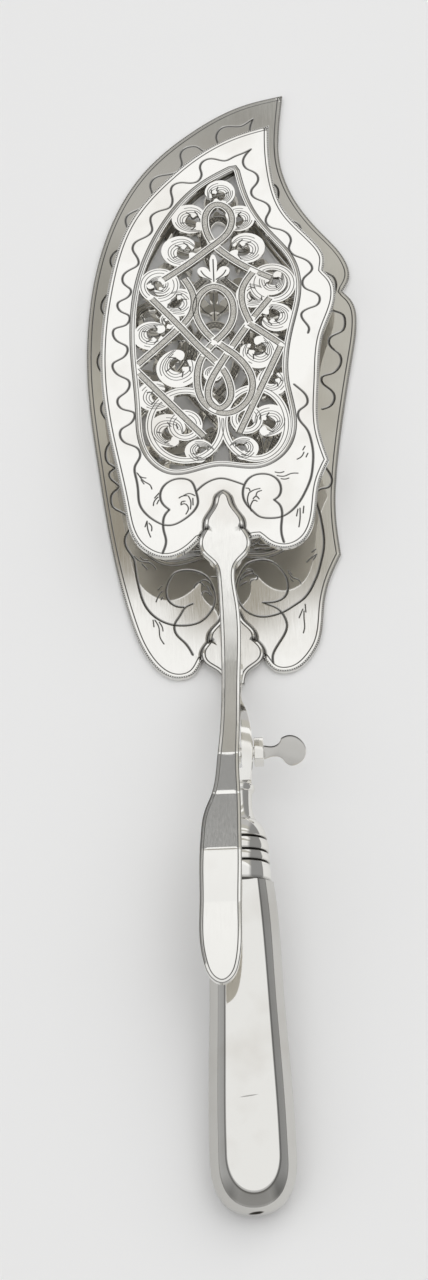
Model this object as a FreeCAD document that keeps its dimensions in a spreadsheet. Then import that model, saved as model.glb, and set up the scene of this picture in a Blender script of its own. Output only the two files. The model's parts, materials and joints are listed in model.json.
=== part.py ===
import FreeCAD
import Part
import Sketcher
import math
import os

from FreeCAD import Placement, Rotation, Vector

# Fish serving tongs: a large pierced slice on a hollow handle, and a smaller pierced blade that swings
# on a pin when its lever above the handle is pressed. Millimetres, +Y to the blade tip, +Z up.
# Every piece is drawn about the hinge pin, and one placement then moves it to the middle of the whole.

# Driving sizes
SIZES = {
    # lower blade, measured along Y from the hinge pin
    "lower_blade_length": 192.6,
    "lower_blade_width": 79.8,
    "lower_blade_gauge": 1.6,
    "lower_heel": 29.1,
    # upper blade, measured along the swinging unit from the hinge pin
    "upper_blade_length": 151.0,
    "upper_blade_width": 69.3,
    "upper_blade_gauge": 1.2,
    "upper_heel": 59.4,
    "tip_gap": 0.4,
    # pierced panels: margins left between the blade's heel and the panel, and the saw work
    "upper_panel_length": 105.6,
    "upper_panel_width": 47.3,
    "upper_panel_margin": 29.2,
    "lower_panel_length": 128.0,
    "lower_panel_width": 54.4,
    "lower_panel_margin": 37.0,
    "strap_band": 2.5,
    "stem_band": 1.7,
    "smallest_piercing": 0.9,
    # hinge
    "hinge_height": 16.5,
    "boss_radius": 3.4,
    "boss_width": 8.6,
    "slot_width": 2.4,
    "slot_front": 14.0,
    "slot_back": 5.6,
    "tongue_side_gap": 0.3,
    "tongue_radius": 3.1,
    "pin_radius": 1.5,
    "pin_fit": 0.05,
    "block_side": 6.2,
    "block_depth": 2.6,
    "block_gap": 0.3,
    "key_thickness": 1.2,
    "key_root_width": 3.6,
    "key_root_depth": 1.8,
    "key_neck_length": 3.8,
    "key_head_radius": 4.0,
    "key_tilt": 35.0,
    # shoulders soldered on the blades
    "shoulder_thickness": 1.3,
    "lower_shoulder_length": 24.0,
    "lower_shoulder_width": 17.2,
    "lower_shoulder_lap": 21.0,
    "upper_shoulder_length": 29.0,
    "upper_shoulder_width": 14.2,
    "upper_shoulder_lap": 21.0,
    "upper_shoulder_offset": 1.1,
    # lever
    "strap_clearance": 0.4,
    "lever_reach": 70.2,
    "lever_rise": 2.6,
    "lever_end_thickness": 1.6,
    "grip_width": 11.0,
    "strap_width": 5.2,
    # stem and ferrule, measured along the handle's axis from the hinge pin
    "stem_radius": 3.6,
    "bead_distance": 10.3,
    "bead_width": 2.0,
    "bead_height": 0.8,
    "tang_radius": 2.2,
    "tang_length": 44.0,
    "ferrule_start": 19.6,
    "ferrule_length": 17.4,
    "ferrule_radius": 7.9,
    "ferrule_groove_depth": 0.45,
    "ferrule_groove_width": 0.7,
    # hollow handle
    "handle_length": 88.0,
    "handle_width": 22.6,
    "handle_thickness": 15.6,
    "handle_wall": 0.8,
    "handle_widest": 70.0,
}

os.makedirs("parts", exist_ok=True)
doc = FreeCAD.newDocument("FishServingTongs")
sheet = doc.addObject("Spreadsheet::Sheet", "Sizes")
for row, (alias, value) in enumerate(SIZES.items(), start=1):
    sheet.set("A%d" % row, alias.replace("_", " "))
    sheet.set("B%d" % row, str(value))
    sheet.setAlias("B%d" % row, alias)
doc.recompute()


def size(alias):
    """Value of one cell of the sheet."""
    return float(sheet.get(alias))


# Worked-out sizes
lower_tip = size("lower_heel") + size("lower_blade_length")
upper_tip = size("upper_heel") + size("upper_blade_length")
strap_floor = size("boss_radius") + size("strap_clearance")
blade_top = strap_floor + size("upper_blade_gauge")
strap_top = blade_top + size("shoulder_thickness")
ferrule_end = size("ferrule_start") + size("ferrule_length")
handle_end = ferrule_end + size("handle_length")
handle_rest = ferrule_end + size("handle_widest")
drop = size("hinge_height") - size("lower_blade_gauge") - size("tip_gap")
blade_pitch = math.asin(drop / math.hypot(upper_tip, strap_floor)) + math.atan2(strap_floor, upper_tip)
handle_slope = math.asin((size("hinge_height") - size("handle_thickness") / 2) / handle_rest)
hinge_y = (handle_end * math.cos(handle_slope) - lower_tip) / 2
boss_half = size("boss_width") / 2

# Placements of the three units that meet at the hinge pin
at_hinge = Vector(0, hinge_y, size("hinge_height"))
LEVEL = Placement(at_hinge, Rotation())
ON_HANDLE_AXIS = Placement(at_hinge, Rotation(Vector(1, 0, 0), math.degrees(handle_slope)))
ON_UPPER_UNIT = Placement(at_hinge, Rotation(Vector(1, 0, 0), -math.degrees(blade_pitch)))
LOCAL_HANDLE_AXIS = Placement(Vector(), Rotation(Vector(1, 0, 0), math.degrees(handle_slope)))
ON_KEY = Placement(at_hinge, Rotation(Vector(1, 0, 0), size("key_tilt")))
LOCAL_KEY = Placement(Vector(), Rotation(Vector(1, 0, 0), size("key_tilt")))

FACING = {
    "XY": Rotation(),
    "XZ": Rotation(Vector(1, 0, 0), 90),
    "YZ": Rotation(Vector(1, 1, 1), 120),
}


# Drawing helpers. A run is a list of (x, y): two points are a straight line, more are one smooth curve.
def run_curve(run):
    points = [Vector(x, y, 0) for x, y in run]
    if len(points) == 2:
        return Part.LineSegment(points[0], points[1])
    curve = Part.BSplineCurve()
    curve.interpolate(points)
    return curve


def draw(sketch, runs):
    """Closed outline of runs in a sketch, each run's end joined to the next run's start."""
    for run in runs:
        sketch.addGeometry(run_curve(run), False)
    for index in range(len(runs)):
        following = (index + 1) % len(runs)
        sketch.addConstraint(Sketcher.Constraint("Coincident", index, 2, following, 1))
    return sketch


def profile(name, runs, facing="XY", offset=None):
    """Free sketch of one closed outline, in a plane through the hinge pin or beside it."""
    sketch = doc.addObject("Sketcher::SketchObject", name)
    sketch.Placement = Placement(offset or Vector(), FACING[facing])
    return draw(sketch, runs)


def body_profile(body, name, runs, role="XY_Plane"):
    """Sketch of one closed outline on one of the body's own origin planes."""
    sketch = body.newObject("Sketcher::SketchObject", name)
    plane = [part for part in body.Origin.OriginFeatures if part.Role == role][0]
    sketch.AttachmentSupport = [(plane, "")]
    sketch.MapMode = "FlatFace"
    return draw(sketch, runs)


def extrusion(name, sketch, length, both_ways=False):
    solid = doc.addObject("Part::Extrusion", name)
    solid.Base = sketch
    solid.DirMode = "Normal"
    solid.setExpression("LengthFwd", length)
    solid.Solid = True
    solid.Symmetric = both_ways
    return solid


def boolean(kind, name, base, tools):
    """Part::Cut, Part::Common or Part::MultiFuse of the given objects."""
    result = doc.addObject("Part::" + kind, name)
    if kind == "MultiFuse":
        result.Shapes = [base] + tools
    else:
        result.Base = base
        result.Tool = tools[0]
    return result


def rod(name, radius, length, placement):
    cylinder = doc.addObject("Part::Cylinder", name)
    cylinder.setExpression("Radius", radius)
    cylinder.setExpression("Height", length)
    cylinder.Placement = placement
    return cylinder


def sub_part(feature, node, placement):
    feature.Label = node
    feature.Placement = placement
    nodes.append(feature)
    return feature


def fitted(points, width, low, high):
    """Points drawn at real size, scaled to a width and to the span from low to high."""
    across = [x for x, y in points]
    along = [y for x, y in points]
    wide = width / (max(across) - min(across))
    tall = (high - low) / (max(along) - min(along))
    return [(x * wide, low + (y - min(along)) * tall) for x, y in points]


def split_runs(points, corners):
    """Cut one closed list of points into runs at the given corner numbers."""
    runs = []
    for start, stop in zip(corners, corners[1:] + [len(points)]):
        runs.append((points + points[:1])[start:stop + 1])
    return runs


nodes = []

# Lower blade: outline from the tip down the long left edge, round the lobes and up the cusped right edge
LOWER_OUTLINE = [
    (22.0, 221.7), (9.6, 218.6), (-6.4, 209.6), (-20.9, 196.2), (-32.2, 175.5), (-38.6, 146.2),
    (-39.4, 125.7), (-37.0, 97.9), (-33.5, 71.1), (-28.2, 46.5), (-23.6, 35.2), (-16.1, 29.1),
    (-11.6, 30.0), (-8.6, 34.4), (0.0, 38.0), (8.6, 34.4), (11.6, 30.6), (16.8, 30.3), (21.6, 34.0),
    (24.2, 38.2), (26.4, 50.1), (28.3, 57.6), (32.0, 65.7), (31.2, 78.0), (31.8, 89.2), (34.2, 106.0),
    (38.6, 129.5), (40.4, 140.5), (39.4, 148.6), (36.8, 152.0), (39.1, 157.0), (38.3, 162.2),
    (31.3, 172.8), (23.2, 186.4), (20.2, 198.5), (20.6, 211.0),
]
LOWER_CORNERS = [0, 13, 14, 15, 22, 29]

# Upper blade, in the plane of its own unit
UPPER_OUTLINE = [
    (17.3, 210.4), (9.2, 208.0), (-2.6, 201.8), (-13.2, 192.4), (-24.9, 177.0), (-32.0, 154.0),
    (-34.9, 126.0), (-33.2, 102.9), (-28.9, 76.7), (-24.4, 62.9), (-17.4, 59.4), (-11.4, 61.8),
    (-8.2, 65.0), (-1.1, 68.0), (6.0, 65.0), (8.4, 65.4), (11.2, 62.6), (15.6, 61.1), (20.3, 62.8),
    (24.5, 71.0), (26.4, 82.5), (29.4, 89.8), (27.2, 100.2), (27.8, 117.0), (30.0, 133.5),
    (34.1, 146.4), (33.6, 152.0), (31.0, 156.0), (31.5, 160.6), (28.6, 166.8), (20.8, 178.0),
    (17.5, 191.5), (17.0, 203.0),
]
UPPER_CORNERS = [0, 12, 13, 14, 15, 21, 27]

# Pierced panel of the upper blade, from its point down the left side and round
PANEL_OUTLINE = [
    (6.1, 194.2), (-3.1, 188.4), (-11.4, 179.4), (-18.0, 167.6), (-22.3, 155.4), (-24.3, 143.0),
    (-24.6, 128.0), (-23.6, 109.0), (-20.6, 92.6), (-15.8, 88.6), (-2.4, 90.6), (9.6, 89.6),
    (16.8, 94.6), (19.2, 105.1), (17.7, 117.0), (20.0, 137.0), (22.7, 150.6), (20.8, 161.0),
    (15.7, 168.8), (9.4, 180.2),
]

# Strapwork left standing in the panel: centre lines, with the point numbers where a looped strap is
# parted into stretches that do not cross themselves
STRAPS = [
    ([(-16.0, 154.5), (-8.0, 160.4), (-0.9, 166.4), (3.6, 171.0), (4.9, 175.6), (3.4, 180.0), (0.4, 181.4),
      (-2.2, 179.2), (-3.2, 174.4), (-1.8, 168.6), (3.2, 162.4), (9.2, 157.6), (15.6, 153.8)], [5]),
    ([(-1.4, 132.0), (3.2, 138.0), (4.2, 143.6), (2.2, 149.4), (-1.3, 151.4), (-5.0, 149.2), (-6.9, 143.6),
      (-5.6, 138.0), (-1.4, 132.0), (4.6, 126.4), (8.7, 118.4), (6.8, 110.4), (0.7, 106.8), (-5.2, 110.4),
      (-7.2, 118.4), (-5.8, 126.0), (-1.4, 132.0)], [4, 12]),
    ([(-19.6, 147.8), (-10.8, 136.4), (-4.9, 128.6), (0.4, 121.8), (2.4, 115.6), (1.5, 110.4), (-1.0, 108.6),
      (-3.5, 110.6), (-4.1, 115.2), (-1.4, 121.8), (3.5, 130.0), (8.9, 138.3), (15.0, 146.6)], [6]),
    ([(-25.0, 124.0), (-12.5, 136.4), (-8.0, 142.6), (-7.6, 149.0), (-10.0, 154.6)], []),
    ([(-25.0, 123.0), (-5.9, 99.2)], []),
    ([(8.6, 137.8), (19.6, 128.2)], []),
    ([(17.9, 130.4), (4.4, 100.0)], []),
    ([(8.9, 138.3), (7.0, 144.4), (7.2, 150.4), (10.4, 156.0)], []),
]

# Rings: centre, half width and half height
RINGS = [
    ((-17.3, 152.4), 4.9, 5.1),
    ((15.9, 151.8), 5.9, 6.0),
    ((-10.9, 103.2), 10.4, 11.9),
    ((9.0, 103.1), 9.0, 12.1),
    ((-11.1, 103.2), 3.9, 4.2),
    ((6.6, 104.6), 3.6, 4.0),
]

# Leaves: centre, half size, turn in degrees, and 1 or -1 for the way that they curl
LEAVES = [
    ((-7.6, 177.0), 4.7, 20, 1), ((7.0, 176.2), 4.1, -15, -1), ((-10.4, 165.0), 5.0, 35, 1),
    ((8.4, 165.2), 4.9, -35, -1), ((-11.2, 146.4), 4.4, -70, -1), ((9.4, 148.2), 3.9, 60, 1),
    ((-21.0, 134.4), 4.3, 150, -1), ((16.6, 139.8), 4.3, 205, 1), ((-12.4, 122.8), 5.7, 200, -1),
    ((10.6, 127.6), 4.8, 150, 1), ((-16.2, 101.8), 5.0, 0, 1), ((13.2, 104.0), 4.8, 0, -1),
    ((1.6, 186.0), 4.2, 10, -1), ((-20.0, 113.4), 4.6, 60, 1), ((14.8, 116.8), 3.8, 220, -1),
    ((-7.4, 94.0), 3.6, 110, -1), ((5.6, 94.4), 3.6, 240, 1),
]
LEAF_OUTLINE = [
    (0.05, -1.05), (-0.62, -0.78), (-0.95, -0.05), (-0.68, 0.66), (-0.05, 0.95), (0.58, 0.62),
    (0.62, 0.10), (0.20, 0.02), (0.12, 0.42), (-0.22, 0.28), (-0.20, -0.18), (0.26, -0.42), (0.52, -0.80),
]

# Palmette between the tails of the top loop: three upright lobes
PALMETTE = [
    (-1.2, 151.6), (-2.2, 153.6), (-5.2, 155.4), (-5.8, 157.8), (-3.6, 158.4), (-2.2, 156.6), (-2.3, 160.4),
    (-1.2, 163.0), (-0.1, 160.4), (-0.2, 156.6), (1.2, 158.4), (3.4, 157.8), (2.8, 155.4), (-0.2, 153.6),
]


def flat_face(runs):
    return Part.Face(Part.Wire([run_curve(run).toShape() for run in runs]))


def smooth_face(points):
    """Face inside one smooth closed curve."""
    curve = Part.BSplineCurve()
    curve.interpolate(Points=[Vector(x, y, 0) for x, y in points], PeriodicFlag=True)
    return Part.Face(Part.Wire([curve.toShape()]))


def band_faces(points, cuts, width):
    """Strap of even width along a smooth centre line, in the stretches between its cuts."""
    centre = run_curve(points)
    stretches = []
    stops = [0] + cuts + [len(points) - 1]
    for first_point, last_point in zip(stops, stops[1:]):
        begin = centre.FirstParameter
        if first_point:
            begin = centre.parameter(Vector(*points[first_point], 0))
        finish = centre.LastParameter
        if last_point < len(points) - 1:
            finish = centre.parameter(Vector(*points[last_point], 0))
        steps = max(2, 2 * (last_point - first_point))
        left, right = [], []
        for step in range(steps + 1):
            parameter = begin + (finish - begin) * step / steps
            point = centre.value(parameter)
            along = centre.tangent(parameter)[0]
            aside = Vector(-along.y, along.x, 0) * (width / 2)
            left.append((point.x + aside.x, point.y + aside.y))
            right.append((point.x - aside.x, point.y - aside.y))
        right.reverse()
        stretches.append(flat_face([left, [left[-1], right[0]], right, [right[-1], left[0]]]))
    return stretches


def ring_face(centre, half_width, half_height, width):
    """Oval ring of even width."""
    rings = []
    for change in (width / 2, -width / 2):
        across, along = half_width + change, half_height + change
        if across >= along:
            curve = Part.Ellipse(Vector(), across, along)
        else:
            curve = Part.Ellipse(Vector(0, along, 0), Vector(across, 0, 0), Vector())
        shape = curve.toShape()
        shape.translate(Vector(centre[0], centre[1], 0))
        rings.append(Part.Face(Part.Wire([shape])))
    return rings[0].cut(rings[1])


def piercings(name, width, low, high, depth):
    """Saw-cut openings of one panel, standing through the sheet from below to above it."""
    drawn_width = max(x for x, y in PANEL_OUTLINE) - min(x for x, y in PANEL_OUTLINE)
    drawn_low = min(y for x, y in PANEL_OUTLINE)
    drawn_high = max(y for x, y in PANEL_OUTLINE)
    wide = width / drawn_width
    tall = (high - low) / (drawn_high - drawn_low)

    def place(points):
        return [(x * wide, low + (y - drawn_low) * tall) for x, y in points]

    standing = []
    for strap, cuts in STRAPS:
        standing += band_faces(place(strap), cuts, size("strap_band"))
    for centre, half_width, half_height in RINGS:
        where = place([centre])[0]
        standing.append(ring_face(where, half_width * wide, half_height * tall, size("stem_band")))
    for centre, half, turn, curl in LEAVES:
        cosine, sine = math.cos(math.radians(turn)), math.sin(math.radians(turn))
        leaf = [
            (centre[0] + half * (x * curl * cosine - y * sine), centre[1] + half * (x * curl * sine + y * cosine))
            for x, y in LEAF_OUTLINE
        ]
        standing.append(smooth_face(place(leaf)))
    standing.append(smooth_face(place(PALMETTE)))
    panel = flat_face(split_runs(place(PANEL_OUTLINE), [0]))
    background = panel.cut(standing)
    openings = [face for face in background.Faces if face.Area > size("smallest_piercing")]
    feature = doc.addObject("Part::Feature", name)
    feature.Shape = Part.makeCompound([face.extrude(Vector(0, 0, depth)) for face in openings])
    return feature


def pierced_blade(node, outline, corners, gauge, span, panel_width, panel_span, rest_height):
    """Blade sawn from sheet: a padded outline with the panel's background cut away."""
    low, high = span
    body = doc.addObject("PartDesign::Body", node + "_blank")
    points = fitted(outline, size(node + "_width"), low, high)
    sketch = body_profile(body, node + "_outline", split_runs(points, corners))
    pad = body.newObject("PartDesign::Pad", node + "_sheet")
    pad.Profile = sketch
    pad.setExpression("Length", "Sizes." + gauge)
    doc.recompute()
    cutter = piercings(node + "_saw_work", panel_width, panel_span[0], panel_span[1], 3 * size(gauge))
    body.Placement.Base.z = rest_height
    cutter.Placement.Base.z = rest_height - size(gauge)
    return boolean("Cut", node, body, [cutter])


lower_panel_low = size("lower_heel") + size("lower_panel_margin")
lower_blade = pierced_blade(
    "lower_blade", LOWER_OUTLINE, LOWER_CORNERS, "lower_blade_gauge", (size("lower_heel"), lower_tip),
    size("lower_panel_width"), (lower_panel_low, lower_panel_low + size("lower_panel_length")),
    -size("hinge_height"))
sub_part(lower_blade, "lower_blade", LEVEL)

upper_panel_low = size("upper_heel") + size("upper_panel_margin")
upper_blade = pierced_blade(
    "upper_blade", UPPER_OUTLINE, UPPER_CORNERS, "upper_blade_gauge", (size("upper_heel"), upper_tip),
    size("upper_panel_width"), (upper_panel_low, upper_panel_low + size("upper_panel_length")),
    strap_floor)
sub_part(upper_blade, "upper_blade", ON_UPPER_UNIT)

# Shoulder plates: one half outline, from the rounded front end past the side cusp to the neck
SHOULDER_HALF = [(0.0, 80.6), (1.5, 79.4), (2.5, 76.2), (5.2, 71.0), (5.5, 68.0), (7.1, 64.4), (6.6, 60.3),
                 (3.2, 56.0), (2.4, 51.6)]
SHOULDER_CUSP = 4


def shoulder_runs(width, low, high, centre):
    right = SHOULDER_HALF
    left = [(-x, y) for x, y in reversed(SHOULDER_HALF[1:])]
    points = [(x + centre, y) for x, y in fitted(right + left, width, low, high)]
    last = len(SHOULDER_HALF) - 1
    mirrored_cusp = 2 * last - SHOULDER_CUSP + 1
    return split_runs(points, [0, SHOULDER_CUSP, last, last + 1, mirrored_cusp])


# Stem: shoulder plate, rising neck with the forked boss, and the round stem with its bead ring and tang
floor_z = -size("hinge_height")
sheet_top = floor_z + size("lower_blade_gauge")
lower_shoulder_front = size("lower_heel") + size("lower_shoulder_lap")
lower_shoulder_back = lower_shoulder_front - size("lower_shoulder_length")
plate = profile(
    "lower_shoulder_outline",
    shoulder_runs(size("lower_shoulder_width"), lower_shoulder_back, lower_shoulder_front, 0),
    "XY", Vector(0, 0, sheet_top))
shoulder = extrusion("lower_shoulder", plate, "Sizes.shoulder_thickness")

shoulder_top = sheet_top + size("shoulder_thickness")
boss_top = size("boss_radius")
neck_front = lower_shoulder_back + 6
neck_side = profile("neck_side", [
    [(neck_front, sheet_top), (neck_front, shoulder_top)],
    [(neck_front, shoulder_top), (26.5, shoulder_top + 1.0), (21.5, shoulder_top + 4.6), (17.0, -4.2),
     (12.0, 0.8), (6.5, 3.0), (0.0, boss_top), (-6.0, boss_top - 0.3), (-9.0, 2.9)],
    [(-9.0, 2.9), (-9.0, -4.2)],
    [(-9.0, -4.2), (-5.0, -3.9), (0.0, -boss_top), (7.0, -4.6), (13.5, -8.2), (19.0, sheet_top + 2.2),
     (25.0, sheet_top + 0.1), (neck_front, sheet_top)],
], "YZ")
neck_block = extrusion("neck_block", neck_side, "Sizes.boss_width", both_ways=True)
neck_plan = profile("neck_plan", [
    [(-3.0, neck_front + 1), (-2.3, 26.0), (-1.9, 20.5), (-2.2, 16.4), (-2.9, 13.1), (-3.6, 9.3),
     (-4.15, 4.2), (-boss_half, 0.6), (-4.1, -3.6), (-3.5, -9.5)],
    [(-3.5, -9.5), (3.5, -9.5)],
    [(3.5, -9.5), (4.1, -3.6), (boss_half, 0.6), (4.15, 4.2), (3.6, 9.3), (2.9, 13.1), (2.2, 16.4),
     (1.9, 20.5), (2.3, 26.0), (3.0, neck_front + 1)],
    [(3.0, neck_front + 1), (-3.0, neck_front + 1)],
], "XY", Vector(0, 0, floor_z))
neck_column = extrusion("neck_column", neck_plan, "Sizes.hinge_height * 2")
neck = boolean("Common", "neck", neck_block, [neck_column])

radius = size("stem_radius")
bead_front = size("bead_distance") - size("bead_width") / 2
bead_back = size("bead_distance") + size("bead_width") / 2
bead_radius = radius + size("bead_height")
stem_end = size("ferrule_start")
tang_end = stem_end + size("tang_length")
stem_body = doc.addObject("PartDesign::Body", "stem_rod")
stem_sketch = body_profile(stem_body, "stem_turning", [
    [(0, -6.4), (radius, -6.4)],
    [(radius, -6.4), (radius, -bead_front)],
    [(radius, -bead_front), (bead_radius, -size("bead_distance")), (radius, -bead_back)],
    [(radius, -bead_back), (radius - 0.15, -stem_end + 4.6), (radius + 0.9, -stem_end)],
    [(radius + 0.9, -stem_end), (size("tang_radius"), -stem_end)],
    [(size("tang_radius"), -stem_end), (size("tang_radius"), -tang_end)],
    [(size("tang_radius"), -tang_end), (0, -tang_end)],
    [(0, -tang_end), (0, -6.4)],
])
turning = stem_body.newObject("PartDesign::Revolution", "stem_revolution")
turning.Profile = stem_sketch
turning.ReferenceAxis = (stem_sketch, ["V_Axis"])
turning.Angle = 360
stem_body.Placement = LOCAL_HANDLE_AXIS

slot = doc.addObject("Part::Box", "fork_slot")
slot.setExpression("Length", "Sizes.slot_width")
slot.setExpression("Width", "Sizes.slot_front + Sizes.slot_back")
slot.setExpression("Height", "Sizes.hinge_height * 2")
slot.Placement.Base = Vector(-size("slot_width") / 2, -size("slot_back"), floor_z)
ALONG_X = Rotation(Vector(0, 1, 0), 90)
bore_start = Placement(Vector(-size("boss_width"), 0, 0), ALONG_X)
fork_bore = rod("fork_bore", "Sizes.pin_radius + Sizes.pin_fit", "Sizes.boss_width * 2", bore_start)
stem_blank = boolean("MultiFuse", "stem_blank", neck, [shoulder, stem_body])
stem_slotted = boolean("Cut", "stem_slotted", stem_blank, [slot])
sub_part(boolean("Cut", "stem_bored", stem_slotted, [fork_bore]), "stem", LEVEL)

# Ferrule: turned and flared, with reeded bands parted by grooves, bored for the tang
flare = size("ferrule_radius")
groove = size("ferrule_groove_depth")
half_groove = size("ferrule_groove_width") / 2
groove_places = [stem_end + size("ferrule_length") * share for share in (0.32, 0.56, 0.73)]
band_radii = [flare - 0.4, flare - 0.2, flare]
band_ends = groove_places[1:] + [ferrule_end + half_groove]
first_band = flare - 0.8
ferrule_runs = [
    [(size("tang_radius"), -stem_end), (radius + 1.1, -stem_end)],
    [(radius + 1.1, -stem_end), (radius + 1.9, -stem_end - 1.2), (flare - 1.3, -stem_end - 3.2),
     (first_band, -groove_places[0] + half_groove)],
]
outer = first_band
for place, band_end, grown in zip(groove_places, band_ends, band_radii):
    bottom = (outer + grown) / 2 - groove
    ferrule_runs.append([(outer, -place + half_groove), (bottom, -place), (grown, -place - half_groove)])
    crown = (grown + 0.15, -(place + band_end) / 2)
    ferrule_runs.append([(grown, -place - half_groove), crown, (grown, -band_end + half_groove)])
    outer = grown
ferrule_runs.append([(outer, -ferrule_end), (size("tang_radius"), -ferrule_end)])
ferrule_runs.append([(size("tang_radius"), -ferrule_end), (size("tang_radius"), -stem_end)])
ferrule_body = doc.addObject("PartDesign::Body", "ferrule_body")
ferrule_sketch = body_profile(ferrule_body, "ferrule_turning", ferrule_runs)
ferrule_turning = ferrule_body.newObject("PartDesign::Revolution", "ferrule_revolution")
ferrule_turning.Profile = ferrule_sketch
ferrule_turning.ReferenceAxis = (ferrule_sketch, ["V_Axis"])
ferrule_turning.Angle = 360
sub_part(ferrule_body, "ferrule", ON_HANDLE_AXIS)

# Handle sections: distance from the ferrule as a share of the widest point, then shares of the full
# half width, half thickness and panel half width. The first list is the grip and the second its end,
# where the panel closes in a round before the outline does.
PANEL_SHARE = 0.6
GRIP_SECTIONS = [
    (0.00, 0.74, 0.88, 0.58), (0.08, 0.79, 0.91, 0.64), (0.40, 0.865, 0.94, 0.80), (0.70, 0.945, 0.975, 0.91),
    (0.90, 0.99, 0.995, 0.98), (1.00, 1.00, 1.00, 1.00),
]
END_SECTIONS = [(1.00, 1.00, 1.00, 1.00), (0.35, 0.985, 0.935, 0.97), (0.60, 0.905, 0.885, 0.62),
                (0.84, 0.69, 0.80, 0.22), (1.00, 0.30, 0.36, 0.12)]


def handle_section(name, distance, half_width, half_thickness, panel):
    """Twelve-sided section: flat panel, bevel, shoulder and side, the same on each face."""
    quarter = [
        (panel, half_thickness),
        ((panel + half_width) / 2, half_thickness * 0.80),
        (half_width, half_thickness * 0.32),
    ]
    corners = quarter + [(x, -y) for x, y in reversed(quarter)]
    corners += [(-x, -y) for x, y in quarter] + [(-x, y) for x, y in reversed(quarter)]
    sides = [[corner, corners[(index + 1) % len(corners)]] for index, corner in enumerate(corners)]
    return profile(name, sides, "XZ", Vector(0, -distance, 0))


def handle_loft(name, sections, ruled):
    loft = doc.addObject("Part::Loft", name)
    loft.Sections = sections
    loft.Solid = True
    loft.Ruled = ruled
    return loft


def handle_form(name, inset):
    """Whole handle, or with an inset its hollow."""
    half_width = size("handle_width") / 2
    half_thickness = size("handle_thickness") / 2
    panel = half_width * PANEL_SHARE
    start = ferrule_end + inset
    widest = handle_rest
    end = handle_end - 1.5 * inset
    grip, tail = [], []
    for number, (along, across, thick, flat) in enumerate(GRIP_SECTIONS):
        grip.append(handle_section(
            "%s_grip_%d" % (name, number), start + (widest - start) * along,
            half_width * across - inset, half_thickness * thick - inset, panel * flat - inset / 2))
    for number, (along, across, thick, flat) in enumerate(END_SECTIONS):
        distance = widest if number == 0 else widest + (end - widest) * along
        shrink = min(inset, half_width * across / 3, half_thickness * thick / 3)
        tail.append(handle_section(
            "%s_end_%d" % (name, number), distance, half_width * across - shrink,
            half_thickness * thick - shrink, max(panel * flat - inset / 2, panel * flat / 2)))
    parts = [handle_loft(name + "_grip", grip, False), handle_loft(name + "_end", tail, True)]
    return boolean("MultiFuse", name, parts[0], [parts[1]])


handle_outside = handle_form("handle_outside", 0.0)
handle_inside = handle_form("handle_inside", size("handle_wall"))
handle_shell = boolean("Cut", "handle_shell", handle_outside, [handle_inside])
tang_start = Placement(Vector(0, -stem_end, 0), Rotation(Vector(1, 0, 0), 90))
tang_bore = rod("tang_bore", "Sizes.tang_radius", "Sizes.tang_length", tang_start)
bored_shell = boolean("Cut", "bored_shell", handle_shell, [tang_bore])
for side, lift in (("handle_front", 0), ("handle_back", -size("handle_thickness"))):
    half_space = doc.addObject("Part::Box", side + "_half")
    half_space.setExpression("Length", "Sizes.handle_width * 2")
    half_space.setExpression("Width", "Sizes.handle_length * 2")
    half_space.setExpression("Height", "Sizes.handle_thickness")
    half_space.Placement.Base = Vector(-size("handle_width"), -handle_end - 10, lift)
    sub_part(boolean("Common", side + "_shell", bored_shell, [half_space]), side, ON_HANDLE_AXIS)
filling = boolean("Cut", "filling", handle_inside, [tang_bore])
sub_part(filling, "handle_filling", ON_HANDLE_AXIS)

# Upper lever, drawn in the plane of the swinging unit: shoulder plate, strap arm, grip and hinge tongue
upper_shoulder_front = size("upper_heel") + size("upper_shoulder_lap")
upper_shoulder_back = upper_shoulder_front - size("upper_shoulder_length")
upper_plate = profile(
    "upper_shoulder_outline",
    shoulder_runs(size("upper_shoulder_width"), upper_shoulder_back, upper_shoulder_front,
                  -size("upper_shoulder_offset")),
    "XY", Vector(0, 0, blade_top))
upper_shoulder = extrusion("upper_shoulder", upper_plate, "Sizes.shoulder_thickness")

reach = size("lever_reach")
half_grip = size("grip_width") / 2
half_strap = size("strap_width") / 2
strap_start = upper_shoulder_back + 6
end_floor = strap_floor + size("lever_rise")
end_top = end_floor + size("lever_end_thickness")
lever_plan = profile("lever_plan", [
    [(-0.6 - half_strap, strap_start), (-0.9 - half_strap, 20.0), (-2.1 - half_strap, 2.0),
     (-2.9 - half_strap, -4.5), (-4.8 - half_strap, -16.0), (-3.9 - half_grip, -21.4),
     (-5.1 - half_grip, -29.0), (-5.7 - half_grip, -37.0), (-6.0 - half_grip, -reach + 22),
     (-6.3 - half_grip, -reach + 9), (-6.3 - half_grip * 0.7, -reach + 2.6), (-6.3, -reach),
     (-6.3 + half_grip * 0.7, -reach + 2.6), (-6.3 + half_grip, -reach + 9),
     (-6.0 + half_grip, -reach + 22), (-5.5 + half_grip, -37.0), (-5.3 + half_grip, -29.0),
     (-5.1 + half_grip, -16.0)],
    [(-5.1 + half_grip, -16.0), (-2.2 + half_strap, -4.5), (-1.8 + half_strap, 2.0),
     (-0.9 + half_strap, 20.0), (-0.5 + half_strap, strap_start)],
    [(-0.5 + half_strap, strap_start), (-0.6 - half_strap, strap_start)],
], "XY")
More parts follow.
